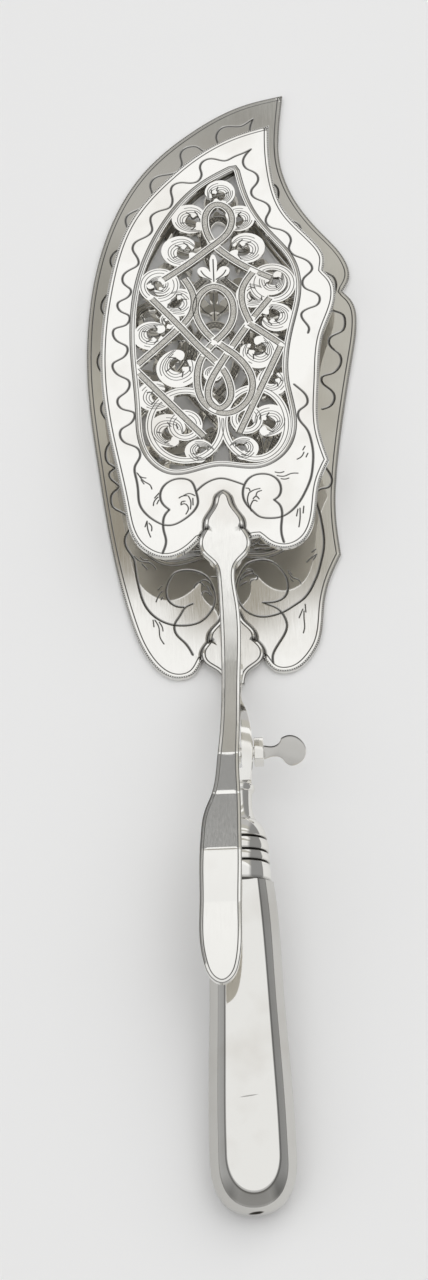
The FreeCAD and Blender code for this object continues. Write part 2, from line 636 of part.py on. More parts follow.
# Creases across the lever's top face: y and height
bend_crease = (-3.0, strap_top)
shoulder_crease = (-15.7, strap_top + 1.75)
grip_crease = (-33.5, strap_top + 4.15)
lever_side = profile("lever_side", [
    [(strap_start, strap_floor), (strap_start, strap_top)],
    [(strap_start, strap_top), bend_crease],
    [bend_crease, shoulder_crease],
    [shoulder_crease, grip_crease],
    [grip_crease, (-48.0, end_top + 1.3), (-reach - 1, end_top)],
    [(-reach - 1, end_top), (-reach - 1, end_floor)],
    [(-reach - 1, end_floor), (-48.0, end_floor + 1.2), (-33.4, strap_floor + 4.8)],
    [(-33.4, strap_floor + 4.8), (-16.0, strap_floor + 2.4)],
    [(-16.0, strap_floor + 2.4), (-4.6, strap_floor)],
    [(-4.6, strap_floor), (strap_start, strap_floor)],
], "YZ", Vector(-20, 0, 0))
lever_column = extrusion("lever_column", lever_plan, "Sizes.hinge_height * 2")
lever_block = extrusion("lever_block", lever_side, "Sizes.grip_width * 3")
strap_arm = boolean("Common", "strap_arm", lever_block, [lever_column])

tongue = size("tongue_radius")
tongue_runs = [
    [(-tongue, 0), (-tongue * math.sqrt(0.5), -tongue * math.sqrt(0.5)), (0, -tongue),
     (tongue * math.sqrt(0.5), -tongue * math.sqrt(0.5)), (tongue, 0)],
    [(tongue, 0), (tongue + 1.2, strap_floor + 0.2)],
    [(tongue + 1.2, strap_floor + 0.2), (-tongue, strap_floor + 0.2)],
    [(-tongue, strap_floor + 0.2), (-tongue, 0)],
]
tongue_side = profile("tongue_side", tongue_runs, "YZ")
tongue_block = extrusion("tongue_block", tongue_side, "Sizes.slot_width - 2 * Sizes.tongue_side_gap", True)
lever_blank = boolean("MultiFuse", "lever_blank", strap_arm, [upper_shoulder, tongue_block])
tongue_bore = rod("tongue_bore", "Sizes.pin_radius + Sizes.pin_fit", "Sizes.boss_width * 2", bore_start)
sub_part(boolean("Cut", "lever_bored", lever_blank, [tongue_bore]), "upper_lever", ON_UPPER_UNIT)

# Hinge pin: round shaft through the fork, square block head on the right
block_start = boss_half + size("block_gap")
pin_shaft = rod("pin_shaft", "Sizes.pin_radius",
                "Sizes.boss_width + Sizes.block_gap + 0.5", Placement(Vector(-boss_half, 0, 0), ALONG_X))
block = doc.addObject("Part::Box", "pin_block")
block.setExpression("Length", "Sizes.block_depth")
block.setExpression("Width", "Sizes.block_side")
block.setExpression("Height", "Sizes.block_side")
half_block = size("block_side") / 2
block.Placement.Base = Vector(block_start, -half_block, -half_block)
block_face = block_start + size("block_depth")
root_slot = doc.addObject("Part::Box", "key_root_slot")
root_slot.setExpression("Length", "Sizes.block_depth")
root_slot.setExpression("Width", "Sizes.key_root_width")
root_slot.setExpression("Height", "Sizes.key_thickness")
half_root = size("key_root_width") / 2
slot_corner = Vector(block_face - size("key_root_depth"), -half_root, -size("key_thickness") / 2)
root_slot.Placement = LOCAL_KEY.multiply(Placement(slot_corner, Rotation()))
pin_blank = boolean("MultiFuse", "pin_blank", pin_shaft, [block])
sub_part(boolean("Cut", "pin_slotted", pin_blank, [root_slot]), "hinge_pin", LEVEL)

# Key: flat spade-shaped leaf, turned about the pin, its root let into the block
head = size("key_head_radius")
head_x = block_face + size("key_neck_length") + head
root_x = block_face - size("key_root_depth")
head_arc = [
    (head_x + head * math.cos(math.radians(angle)), head * math.sin(math.radians(angle)))
    for angle in (-142, -90, -45, 0, 45, 90, 142)
]
neck_x = block_face + size("key_neck_length") * 0.45
key_sketch_runs = [
    [(root_x, -half_root), (block_face, -half_root)],
    [(block_face, -half_root), (neck_x, -half_root * 0.85), (head_arc[0][0] - 0.8, -half_root * 0.95),
     head_arc[0]],
    head_arc,
    [head_arc[-1], (head_arc[0][0] - 0.8, half_root * 0.95), (neck_x, half_root * 0.85),
     (block_face, half_root)],
    [(block_face, half_root), (root_x, half_root)],
    [(root_x, half_root), (root_x, -half_root)],
]
key_body = doc.addObject("PartDesign::Body", "key_body")
key_sketch = body_profile(key_body, "key_outline", key_sketch_runs)
key_pad = key_body.newObject("PartDesign::Pad", "key_leaf")
key_pad.Profile = key_sketch
key_pad.setExpression("Length", "Sizes.key_thickness")
key_pad.Midplane = True
sub_part(key_body, "pin_key", ON_KEY)

# Checks before anything is written
doc.recompute()
for thing in doc.Objects:
    if "Invalid" in thing.State or "Error" in thing.State:
        raise RuntimeError("%s did not build: %s" % (thing.Name, thing.State))
for node in nodes:
    shape = node.Shape
    if shape.isNull() or not shape.isValid() or len(shape.Solids) != 1:
        raise RuntimeError("%s is not one valid solid" % node.Label)

for node in nodes:
    node.Shape.exportStep("parts/%s.step" % node.Label)
    box = node.Shape.BoundBox
    print("%-15s volume %9.1f  x %.1f..%.1f  y %.1f..%.1f  z %.2f..%.2f" % (
        node.Label, node.Shape.Volume, box.XMin, box.XMax, box.YMin, box.YMax, box.ZMin, box.ZMax))
print("upper blade pitch %.3f, handle slope %.3f degrees, hinge at y %.2f" % (
    math.degrees(blade_pitch), math.degrees(handle_slope), hinge_y))
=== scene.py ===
"""Looks of a pair of engraved silver fish serving tongs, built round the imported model.

Lengths in the classes are millimetres. A blade is drawn in the plane of its own unit: x across, y
forward from the hinge pin. Each piece is then turned and moved to its place in the shared frame.
"""
import json
import logging
import math
from dataclasses import dataclass, field
from enum import Enum

import bmesh
import bpy
import numpy as np
from mathutils import Matrix, Vector
from mathutils.geometry import delaunay_2d_cdt

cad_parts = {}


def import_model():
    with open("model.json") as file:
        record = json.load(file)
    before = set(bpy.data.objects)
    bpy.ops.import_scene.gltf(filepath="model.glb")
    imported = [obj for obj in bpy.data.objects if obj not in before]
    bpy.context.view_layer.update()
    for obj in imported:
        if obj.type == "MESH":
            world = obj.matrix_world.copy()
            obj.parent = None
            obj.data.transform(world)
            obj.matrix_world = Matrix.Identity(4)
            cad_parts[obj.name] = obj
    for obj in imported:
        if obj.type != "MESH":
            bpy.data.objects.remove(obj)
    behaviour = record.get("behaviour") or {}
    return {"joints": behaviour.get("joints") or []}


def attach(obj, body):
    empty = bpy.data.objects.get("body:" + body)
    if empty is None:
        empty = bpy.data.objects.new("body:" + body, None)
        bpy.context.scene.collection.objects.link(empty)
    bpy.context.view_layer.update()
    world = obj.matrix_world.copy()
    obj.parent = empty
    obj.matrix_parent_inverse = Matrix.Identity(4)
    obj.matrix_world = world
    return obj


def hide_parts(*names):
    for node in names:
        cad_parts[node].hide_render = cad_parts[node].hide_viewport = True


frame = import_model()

logging.basicConfig(level=logging.INFO, format="%(message)s")
log = logging.getLogger("fish_serving_tongs")

MM = 0.001
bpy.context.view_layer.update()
Points = list[tuple[float, float]]
Socket = bpy.types.NodeSocket


class Body(Enum):
    """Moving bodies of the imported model."""

    SLICE = "slice"
    UPPER_UNIT = "upper_unit"
    KEY_PIN = "key_pin"


class Slot(Enum):
    """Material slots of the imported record."""

    BLADE = "blade_silver"
    FORGED = "forged_silver"
    HANDLE = "handle_silver"


class Mark(Enum):
    """What the cores of a sheet's straps are finished with, named as the attribute that says so."""

    PLAIN = "plain"
    MATTED = "matted"
    HATCHED = "hatched"


def linear(hex_colour: str) -> tuple[float, float, float, float]:
    """Turn an sRGB hex colour to linear values.

    Args:
        hex_colour: Six digits after a hash.

    Returns:
        Linear red, green, blue and an alpha of one.
    """
    parts = [int(hex_colour[i:i + 2], 16) / 255 for i in (1, 3, 5)]
    values = [c / 12.92 if c <= 0.04045 else ((c + 0.055) / 1.055) ** 2.4 for c in parts]
    return (*values, 1.0)


def add_node(tree: bpy.types.NodeTree, kind: str, inputs: dict | None = None, **settings) -> bpy.types.Node:
    """Add a node with its settings, socket values and links.

    Args:
        tree: Node tree that gets the node.
        kind: Node type.
        inputs: Values, or sockets to link from, by input name or number.
        **settings: Properties of the node itself.

    Returns:
        The new node.
    """
    node = tree.nodes.new(kind)
    for name, value in settings.items():
        setattr(node, name, value)
    for name, value in (inputs or {}).items():
        if isinstance(value, bpy.types.NodeSocket):
            tree.links.new(value, node.inputs[name])
        else:
            node.inputs[name].default_value = value
    return node


def set_ramp(node: bpy.types.Node, stops: list[tuple[float, str]]) -> None:
    """Give a colour ramp its stops.

    Args:
        node: Color Ramp node.
        stops: Position and hex colour of each stop, in order.
    """
    ramp = node.color_ramp
    while len(ramp.elements) > 1:
        ramp.elements.remove(ramp.elements[0])
    ramp.elements[0].position = stops[0][0]
    ramp.elements[0].color = linear(stops[0][1])
    for place, colour in stops[1:]:
        ramp.elements.new(place).color = linear(colour)


def new_material(name: str) -> tuple[bpy.types.Material, bpy.types.NodeTree]:
    """Make a material without nodes.

    Args:
        name: Name of the finish.

    Returns:
        The material and its node tree.
    """
    material = bpy.data.materials.new(name)
    material.use_nodes = True
    material.node_tree.nodes.clear()
    return material, material.node_tree


@dataclass(frozen=True)
class WornSpot:
    """Knock or scratch: its centre and half sizes in millimetres, its turn and how dark it is."""

    centre: tuple
    half_sizes: tuple
    turn: float
    share: float


@dataclass(frozen=True)
class SilverFinish:
    """Sterling silver, hand polished after working.

    The eye gets a near mirror, broken by hairlines from the cloth and softened by a thin warm film. Cuts
    hold dark oxidised silver, matted and hatched grounds look grey, and the undersides are dull. The same dark
    colour is laid on as painted shade in some creases and edges, and a grey one as painted shade on the
    handle's sides.
    """

    name: str
    clean: str = "#F7F6F2"
    film: str = "#E9E6E0"
    # dark colour of oxidised cuts, also laid on as painted shade and painted contact shadow
    oxide_and_shade: str = "#2A2620"
    matted_tone: str = "#DEDCD6"
    grime_tone: str = "#AAA59A"
    # painted shade on the handle's sides and round end
    painted_shade_tone: str = "#5E5A52"
    under_tone: str = "#EEEAE2"
    roughness: float = 0.045
    film_mm: float = 20.0
    hairline_mm: float = 0.35
    hairline_height: float = 0.006
    wave_mm: float = 26.0
    wave_height: float = 0.045
    stipple_mm: float = 0.45
    pit_depth: float = 0.08
    hatch_mm: float = 0.9
    hatch_depth: float = 0.15
    hatch_turns: tuple = (0.70, -0.62)
    worn: tuple = ()
    worn_tilt: float = 24.0

    def build(self) -> bpy.types.Material:
        """Build the material.

        Returns:
            Node material that reads Object coordinates and the piece's own attributes.
        """
        material, tree = new_material(self.name)
        place = add_node(tree, "ShaderNodeTexCoord").outputs["Object"]
        # one of these attributes carries painted shade on the handle's sides
        marks = {label: add_node(tree, "ShaderNodeAttribute", attribute_name=label).outputs["Fac"]
                 for label in ("matted", "hatched", "cut", "painted_shade", "under")}
        # hairlines from the polishing cloth, longer than they are wide
        stretch = add_node(tree, "ShaderNodeMapping", {
            "Vector": place, "Rotation": (0.0, 0.0, 0.35), "Scale": (1.0, 0.08, 1.0)})
        hairs = add_node(tree, "ShaderNodeTexNoise", {
            "Vector": stretch.outputs[0], "Scale": 1 / (self.hairline_mm * MM), "Detail": 2.0}).outputs["Fac"]
        hatch = self.hatching(tree, place, marks["hatched"])
        cuts = add_node(tree, "ShaderNodeMath", {0: marks["cut"], 1: hatch}, operation="MAXIMUM",
                        use_clamp=True)
        # share of oxidised cuts and of painted shade, with the worn spots
        oxide_and_shade = self.worn_spots(tree, place, cuts.outputs[0])
        shader = add_node(tree, "ShaderNodeBsdfPrincipled", {
            "Base Color": self.colour(tree, place, marks, oxide_and_shade), "Metallic": 1.0,
            "Roughness": self.dullness(tree, hairs, marks, oxide_and_shade),
            "Normal": self.relief(tree, place, hairs, marks["matted"], hatch)})
        add_node(tree, "ShaderNodeOutputMaterial", {"Surface": shader.outputs[0]})
        return material

    def hatching(self, tree: bpy.types.NodeTree, place: Socket, hatched: Socket) -> Socket:
        """Cross two rows of graver cuts on the hatched ground.

        The real cuts stand about 0.3 mm apart; they are drawn at 0.9 mm so that they show.

        Args:
            tree: Node tree of the finish.
            place: Object coordinates.
            hatched: Share of hatching.

        Returns:
            Share of cut.
        """
        rows = []
        for turn in self.hatch_turns:
            turned = add_node(tree, "ShaderNodeMapping", {"Vector": place, "Rotation": (0.0, 0.0, turn)})
            rows.append(add_node(tree, "ShaderNodeTexWave", {
                "Vector": turned.outputs[0], "Scale": 0.314 / (self.hatch_mm * MM), "Distortion": 0.6,
                "Detail": 1.0}).outputs["Fac"])
        crossed = add_node(tree, "ShaderNodeMath", {0: rows[0], 1: rows[1]}, operation="MINIMUM")
        cut_rows = add_node(tree, "ShaderNodeMapRange", {
            "Value": crossed.outputs[0], "From Min": 0.30, "From Max": 0.08, "To Max": 0.65})
        return add_node(tree, "ShaderNodeMath", {0: cut_rows.outputs["Result"], 1: hatched},
                        operation="MULTIPLY").outputs[0]

    def worn_spots(self, tree: bpy.types.NodeTree, place: Socket, dark: Socket) -> Socket:
        """Add the knocks and scratches that the photograph shows, each square to the camera.

        Args:
            tree: Node tree of the finish.
            place: Object coordinates.
            dark: Share of oxidised cuts and painted shade so far.

        Returns:
            Share of oxidised cuts and painted shade, with the spots.
        """
        for spot in self.worn:
            near = add_node(tree, "ShaderNodeMapping", {
                "Vector": place, "Location": tuple(value * MM for value in spot.centre),
                "Rotation": (math.radians(self.worn_tilt), 0.0, spot.turn),
                "Scale": tuple(value * MM for value in spot.half_sizes)}, vector_type="TEXTURE")
            away = add_node(tree, "ShaderNodeVectorMath", {0: near.outputs[0]}, operation="LENGTH")
            shade = add_node(tree, "ShaderNodeMapRange", {
                "Value": away.outputs["Value"], "From Min": 1.0, "From Max": 0.6, "To Max": spot.share})
            dark = add_node(tree, "ShaderNodeMath", {0: dark, 1: shade.outputs["Result"]},
                            operation="MAXIMUM").outputs[0]
        return dark

    def colour(self, tree: bpy.types.NodeTree, place: Socket, marks: dict[str, Socket],
               oxide_and_shade: Socket) -> Socket:
        """Lay the film, the grounds, the oxidised cuts with painted shade, the grey painted shade and the dull
        undersides over the silver.

        Args:
            tree: Node tree of the finish.
            place: Object coordinates.
            marks: Attributes of the piece by name.
            oxide_and_shade: Share of oxidised cuts and painted shade.

        Returns:
            Colour of the finish.
        """
        cloud = add_node(tree, "ShaderNodeTexNoise", {
            "Vector": place, "Scale": 1 / (self.film_mm * MM), "Detail": 3.0})
        film = add_node(tree, "ShaderNodeMapRange", {
            "Value": cloud.outputs["Fac"], "From Min": 0.52, "From Max": 0.78})
        grime = add_node(tree, "ShaderNodeMath", {0: marks["hatched"], 1: 0.45}, operation="MULTIPLY")
        colour = linear(self.clean)
        # the dark of the cuts also lays painted shade, and the handle's grey layer is painted shade only
        for share, tone in ((film.outputs["Result"], self.film), (marks["matted"], self.matted_tone),
                            (grime.outputs[0], self.grime_tone), (oxide_and_shade, self.oxide_and_shade),
                            (marks["painted_shade"], self.painted_shade_tone), (marks["under"], self.under_tone)):
            colour = add_node(tree, "ShaderNodeMix", {0: share, 6: colour, 7: linear(tone)},
                              data_type="RGBA").outputs[2]
        return colour

    def dullness(self, tree: bpy.types.NodeTree, hairs: Socket, marks: dict[str, Socket],
                 oxide_and_shade: Socket) -> Socket:
        """Roughness: least on polished faces, most in cuts and on the planished undersides.

        Args:
            tree: Node tree of the finish.
            hairs: Pattern of the hairlines.
            marks: Attributes of the piece by name.
            oxide_and_shade: Share of oxidised cuts and painted shade.

        Returns:
            Roughness of the finish.
        """
        roughness = add_node(tree, "ShaderNodeMapRange", {
            "Value": hairs, "From Min": 0.3, "From Max": 0.8,
            "To Min": self.roughness * 0.8, "To Max": self.roughness * 1.5}).outputs["Result"]
        for share, more in ((marks["under"], 0.36), (marks["matted"], 0.17), (oxide_and_shade, 0.45)):
            roughness = add_node(tree, "ShaderNodeMath", {0: share, 1: more, 2: roughness},
                                 operation="MULTIPLY_ADD").outputs[0]
        return roughness

    def relief(self, tree: bpy.types.NodeTree, place: Socket, hairs: Socket, matted: Socket,
               hatch: Socket) -> Socket:
        """Bump of the long waves, the hairlines, the overlapping punch marks and the hatching.

        Args:
            tree: Node tree of the finish.
            place: Object coordinates.
            hairs: Pattern of the hairlines.
            matted: Share of punch marks.
            hatch: Share of hatching.

        Returns:
            Normal of the finish.
        """
        wave = add_node(tree, "ShaderNodeTexNoise", {
            "Vector": place, "Scale": 1 / (self.wave_mm * MM), "Detail": 1.0})
        stipple = add_node(tree, "ShaderNodeTexVoronoi", {"Vector": place, "Scale": 1 / (self.stipple_mm * MM)})
        pits = add_node(tree, "ShaderNodeMath", {0: stipple.outputs["Distance"], 1: matted},
                        operation="MULTIPLY")
        bumps = ((wave.outputs["Fac"], 0.4, self.wave_height, False),
                 (hairs, 0.14, self.hairline_height, False),
                 (pits.outputs[0], 0.6, self.pit_depth, False), (hatch, 0.8, self.hatch_depth, True))
        given = {}
        for height, strength, distance, sunk in bumps:
            bump = add_node(tree, "ShaderNodeBump", {
                "Height": height, "Strength": strength, "Distance": distance * MM, **given}, invert=sunk)
            given = {"Normal": bump.outputs["Normal"]}
        return given["Normal"]


@dataclass(frozen=True)
class PitchFinish:
    """Cast resin pitch that fills the hollow handle: dark brown, dull, with small flow marks."""

    name: str = "cast_pitch"
    dark: str = "#3A2A1E"
    light: str = "#5A4230"
    flow_mm: float = 3.0
    flow_height: float = 0.1

    def build(self) -> bpy.types.Material:
        """Build the material.

        Returns:
            Node material of dull dark resin.
        """
        material, tree = new_material(self.name)
        place = add_node(tree, "ShaderNodeTexCoord").outputs["Object"]
        flow = add_node(tree, "ShaderNodeTexNoise", {
            "Vector": place, "Scale": 1 / (self.flow_mm * MM), "Detail": 3.0}).outputs["Fac"]
        colour = add_node(tree, "ShaderNodeMix", {
            0: flow, 6: linear(self.dark), 7: linear(self.light)}, data_type="RGBA")
        bump = add_node(tree, "ShaderNodeBump", {
            "Height": flow, "Strength": 0.4, "Distance": self.flow_height * MM})
        shader = add_node(tree, "ShaderNodeBsdfPrincipled", {
            "Base Color": colour.outputs[2], "Roughness": 0.55, "Normal": bump.outputs["Normal"]})
        add_node(tree, "ShaderNodeOutputMaterial", {"Surface": shader.outputs[0]})
        return material


def smooth_line(points: Points, step: float, closed: bool = False) -> np.ndarray:
    """Run a smooth curve through points.

    Args:
        points: Points that the curve passes.
        step: Distance between the points that come back.
        closed: Whether the curve returns to its first point.

    Returns:
        Points along the curve, the first not repeated at the end of a closed one.
    """
    p = np.array(points, float)
    if closed:
        p = np.vstack([p[-3:], p, p[:4]])
    t = np.concatenate([[0.0], np.cumsum(np.linalg.norm(np.diff(p, axis=0), axis=1))])
    if len(p) == 2:
        bend = np.zeros_like(p)
    else:
        h = np.diff(t)
        n = len(p)
        a = np.eye(n)
        b = np.zeros((n, 2))
        for i in range(1, n - 1):
            a[i, i - 1:i + 2] = h[i - 1], 2 * (h[i - 1] + h[i]), h[i]
            b[i] = 6 * ((p[i + 1] - p[i]) / h[i] - (p[i] - p[i - 1]) / h[i - 1])
        bend = np.linalg.solve(a, b)
    start, stop = (t[3], t[-4]) if closed else (t[0], t[-1])
    count = max(1, int(round((stop - start) / step)))
    s = np.linspace(start, stop, count + 1)
    if closed:
        s = s[:-1]
    k = np.clip(np.searchsorted(t, s, side="right") - 1, 0, len(p) - 2)
    h = (t[k + 1] - t[k])[:, None]
    u = (s - t[k])[:, None]
    w = h - u
    return (bend[k] * w ** 3 + bend[k + 1] * u ** 3) / (6 * h) + (p[k] / h - bend[k] * h / 6) * w \
        + (p[k + 1] / h - bend[k + 1] * h / 6) * u


def cornered_outline(points: Points, corners: list[int], step: float) -> np.ndarray:
    """Closed outline that is smooth except at its corners.

    Args:
        points: Points of the outline.
        corners: Numbers of the points that are sharp.
        step: Distance between the points that come back.

    Returns:
        Points round the outline.
    """
    ring = points + points[:1]
    runs = [smooth_line(ring[a:b + 1], step)[:-1] for a, b in zip(corners, corners[1:] + [len(points)])]
    return np.vstack(runs)


def fitted(points: Points, outline: Points, width: float, low: float, high: float) -> Points:
    """Scale points as an outline is scaled to a width and to a span from low to high.

    Args:
        points: Points at their drawn size.
        outline: Outline at the same drawn size.
        width: Width that the outline gets.
        low: Lowest y of the outline.
        high: Highest y of the outline.

    Returns:
        The scaled points.
    """
    across = [x for x, _ in outline]
    along = [y for _, y in outline]
    wide = width / (max(across) - min(across))
    tall = (high - low) / (max(along) - min(along))
    return [(x * wide, low + (y - min(along)) * tall) for x, y in points]


def area_of(ring: np.ndarray) -> float:
    """Signed area of a closed ring, positive where it turns anticlockwise."""
    x, y = ring[:, 0], ring[:, 1]
    return float((x * np.roll(y, -1) - np.roll(x, -1) * y).sum() / 2)


def looped(ring: np.ndarray) -> np.ndarray:
    """Repeat a ring's first point at its end."""
    return np.vstack([ring, ring[:1]])


def side_steps(line: np.ndarray, closed: bool = False) -> np.ndarray:
    """Unit vectors to the left of a line at each of its points.

    Args:
        line: Points of the line.
        closed: Whether the line is a ring.

    Returns:
        One vector a point.
    """
    if closed:
        along = np.roll(line, -1, 0) - np.roll(line, 1, 0)
    else:
        along = np.gradient(line, axis=0)
    along /= np.maximum(np.linalg.norm(along, axis=1, keepdims=True), 1e-9)
    return np.stack([-along[:, 1], along[:, 0]], 1)


def inward_steps(ring: np.ndarray) -> np.ndarray:
    """Unit vectors into a closed ring at each of its points."""
    return side_steps(ring, True) * (1 if area_of(ring) > 0 else -1)


def inside(points: np.ndarray, ring: np.ndarray) -> np.ndarray:
    """Tell which points lie in a closed ring.

    Args:
        points: Points to test.
        ring: Closed outline.

    Returns:
        One truth value a point.
    """
    result = np.zeros(len(points), bool)
    for (x0, y0), (x1, y1) in zip(ring, np.roll(ring, -1, 0)):
        crosses = (y0 > points[:, 1]) != (y1 > points[:, 1])
        with np.errstate(divide="ignore", invalid="ignore"):
            x = x0 + (points[:, 1] - y0) * (x1 - x0) / (y1 - y0)
        result ^= crosses & (points[:, 0] < x)
    return result


def distance_to_lines(points: np.ndarray, starts: np.ndarray, ends: np.ndarray) -> np.ndarray:
    """Distance from each point to each segment.

    Args:
        points: Points, one a row.
        starts: Start of each segment.
        ends: End of each segment.

    Returns:
        Table of distances, points by segments.
    """
    run = ends - starts
    length = np.maximum((run ** 2).sum(1), 1e-12)
    offset = points[:, None, :] - starts[None]
    share = np.clip((offset * run).sum(2) / length, 0, 1)
    return np.linalg.norm(offset - share[..., None] * run, axis=2)


def new_piece(name: str, vertices: np.ndarray, faces: list, material: bpy.types.Material,
              smooth_angle: float = 0.0) -> bpy.types.Object:
    """Make an object from vertices in millimetres of the shared frame.

    Args:
        name: Name of the piece.
        vertices: Vertices, one a row.
        faces: Vertex numbers of each face.
        material: Finish.
        smooth_angle: Angle in degrees up to which edges are shaded smooth, or zero for flat faces.

    Returns:
        The object, at the origin.
    """
    mesh = bpy.data.meshes.new(name)
    mesh.from_pydata((np.asarray(vertices) * MM).tolist(), [], faces)
    mesh.update()
    mesh.materials.append(material)
    if smooth_angle:
        smoothed(mesh, smooth_angle)
    piece = bpy.data.objects.new(name, mesh)
    bpy.context.scene.collection.objects.link(piece)
    return piece


def smoothed(mesh: bpy.types.Mesh, angle: float) -> None:
    """Shade a mesh smooth, save over edges that bend more than an angle in degrees."""
    mesh.shade_smooth()
    mesh.set_sharp_from_angle(angle=math.radians(angle))


def record(piece: bpy.types.Object, label: str, values: np.ndarray, domain: str = "POINT") -> None:
    """Give a piece an attribute that its finish reads.

    Args:
        piece: Finished piece.
        label: Name of the attribute.
        values: One value a vertex or face.
        domain: What the values belong to.
    """
    attribute = piece.data.attributes.new(label, "FLOAT", domain)
    attribute.data.foreach_set("value", np.asarray(values, np.float32).ravel())


def settle(piece: bpy.types.Object, body: Body, slot: Slot, *nodes: str) -> None:
    """Give a finished piece its body and hide the nodes that it stands for.

    Args:
        piece: Finished piece.
        body: Body that carries it.
        slot: Material slot of the record; not used.
        *nodes: CAD nodes that the piece replaces.
    """
    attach(piece, body.value)
    if nodes:
        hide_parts(*nodes)
    triangles = sum(len(p.vertices) - 2 for p in piece.data.polygons)
    log.info("%s: %d triangles on %s", piece.name, triangles, body.value)


def baked(piece: bpy.types.Object) -> None:
    """Turn a piece's modifiers into its plain mesh.

    Args:
        piece: Piece with modifiers.
    """
    graph = bpy.context.evaluated_depsgraph_get()
    mesh = bpy.data.meshes.new_from_object(piece.evaluated_get(graph))
    piece.modifiers.clear()
    piece.data = mesh


def rings_to_faces(rings: int, count: int, closed_ends: bool = True) -> list:
    """Faces between rings of equal vertex count that follow each other.

    Args:
        rings: Number of rings.
        count: Vertices in each ring.
        closed_ends: Whether the first and last ring get a cap.

    Returns:
        Faces that point outwards for rings that turn anticlockwise seen against the run.
    """
    faces = []
    for ring in range(rings - 1):
        for i in range(count):
            j = (i + 1) % count
            faces.append((ring * count + i, ring * count + j, (ring + 1) * count + j, (ring + 1) * count + i))
    if closed_ends:
        faces.append(tuple(reversed(range(count))))
        faces.append(tuple(range((rings - 1) * count, rings * count)))
    return faces


def outward(piece: bpy.types.Object) -> None:
    """Merge a piece's doubles and turn its faces outwards.

    Args:
        piece: Closed piece.
    """
    bm = bmesh.new()
    bm.from_mesh(piece.data)
    bmesh.ops.remove_doubles(bm, verts=bm.verts, dist=0.0005 * MM)
    bmesh.ops.recalc_face_normals(bm, faces=bm.faces)
    bm.to_mesh(piece.data)
    bm.free()


@dataclass(frozen=True)
class Unit:
    """Plane of a unit that hangs on the hinge pin."""

    turn: float

    def placed(self, points: np.ndarray) -> np.ndarray:
        """Turn points about the hinge pin and move them to the shared frame.

        Args:
            points: Rows of x, y forward from the pin and z above it, in millimetres.

        Returns:
            The points in millimetres of the shared frame.
        """
        turn = np.array(Matrix.Rotation(math.radians(self.turn), 3, "X"))
        return np.asarray(points) @ turn.T + HINGE


HINGE = np.array(next(j for j in frame["joints"] if j["name"] == "blade_swing")["pos_m"]) / MM
LEVEL = Unit(0.0)
UPPER = Unit(-4.986)
HANDLE = Unit(4.664)
KEY = Unit(35.0)


@dataclass(frozen=True)
class Graver:
    """One kind of engraved cut: its width and depth, and how dark it looks, from oxidised silver and, in some
    lines, painted shade.

    A tone over one keeps the cut dark for more of its width.
    """

    width: float
    depth: float
    tone: float = 1.0


# the finest cuts are drawn about twice as wide as the real ones, so that they show
WRIGGLE = Graver(0.80, 0.18, 0.95)
FINE = Graver(0.44, 0.16, 1.0)
HAIR = Graver(0.28, 0.10, 0.8)
EDGE = Graver(0.34, 0.14, 1.0)
FRAME = Graver(0.80, 0.10, 0.55)
MILLING = Graver(0.60, 0.10, 1.2)
BORDER = Graver(0.38, 0.12, 1.2)
# dark solder joint round a shoulder plate, widened with painted contact shadow
SOLDER_AND_SHADOW = Graver(1.30, 0.14, 2.0)


@dataclass
class SheetDrawing:
    """Everything that is drawn on one pierced sheet, ready to be made a mesh."""

    vertices: list = field(default_factory=list)
    edges: list = field(default_factory=list)
    faces: list = field(default_factory=list)
    roles: list = field(default_factory=list)
    cuts: list = field(default_factory=list)

    def area(self, ring: np.ndarray, role: tuple) -> None:
        """Add a closed area.

        Args:
            ring: Outline of the area.
            role: What the area is, read again when the triangles are sorted.
        """
        first = len(self.vertices)
        turned = ring if area_of(np.asarray(ring)) > 0 else ring[::-1]
        self.vertices += [Vector((round(x, 4), round(y, 4))) for x, y in turned]
        self.faces.append(list(range(first, first + len(turned))))
        self.roles.append(role)

    def line(self, points: np.ndarray) -> None:
        """Add an open line that triangles must not cross.

        Args:
            points: Points of the line.
        """
        first = len(self.vertices)
        self.vertices += [Vector((round(x, 4), round(y, 4))) for x, y in points]
        self.edges += [(first + i, first + i + 1) for i in range(len(points) - 1)]

    def engrave(self, points: np.ndarray, graver: Graver) -> None:
        """Cut a groove along a line.

        Args:
            points: Centre line of the groove.
            graver: Kind of cut.
        """
        if len(points) < 2:
            return
        side = side_steps(points) * (graver.width / 2)
        ahead = points[-1] - points[-2]
        behind = points[0] - points[1]
        tips = [p + d / max(np.linalg.norm(d), 1e-9) * graver.width / 2
                for p, d in ((points[0], behind), (points[-1], ahead))]
        left, right = points + side, points - side
        self.line(np.vstack([tips[:1], points, tips[1:]]))
        self.line(np.vstack([tips[:1], left, tips[1:], right[::-1], tips[:1]]))
        self.cuts.append((points, graver))

    def depths(self, points: np.ndarray) -> tuple[np.ndarray, np.ndarray]:
        """Depth of the engraving and darkness of its oxidised cuts and painted shade.

        Args:
            points: Places on the sheet.

        Returns:
            Depth in millimetres and darkness from 0 to 1, one a point.
        """
        starts = np.vstack([p[:-1] for p, _ in self.cuts])
        ends = np.vstack([p[1:] for p, _ in self.cuts])
        half, deep, tone = (np.concatenate([np.full(len(p) - 1, v) for p, v in values]) for values in (
            [(p, g.width / 2) for p, g in self.cuts], [(p, g.depth) for p, g in self.cuts],
            [(p, g.tone) for p, g in self.cuts]))
        depth, dark = np.zeros(len(points)), np.zeros(len(points))
        batch = 400
        for first in range(0, len(points), batch):
            block = points[first:first + batch]
            low, high = block.min(0) - 1, block.max(0) + 1
            near = ((np.minimum(starts, ends) < high) & (np.maximum(starts, ends) > low)).all(1)
            if not near.any():
                continue
            share = np.clip(1 - distance_to_lines(block, starts[near], ends[near]) / half[near], 0, 1)
            share[share < 0.04] = 0
            depth[first:first + batch] = (share * deep[near]).max(1)
            dark[first:first + batch] = np.minimum(share * tone[near], 1).max(1)
        return depth, dark


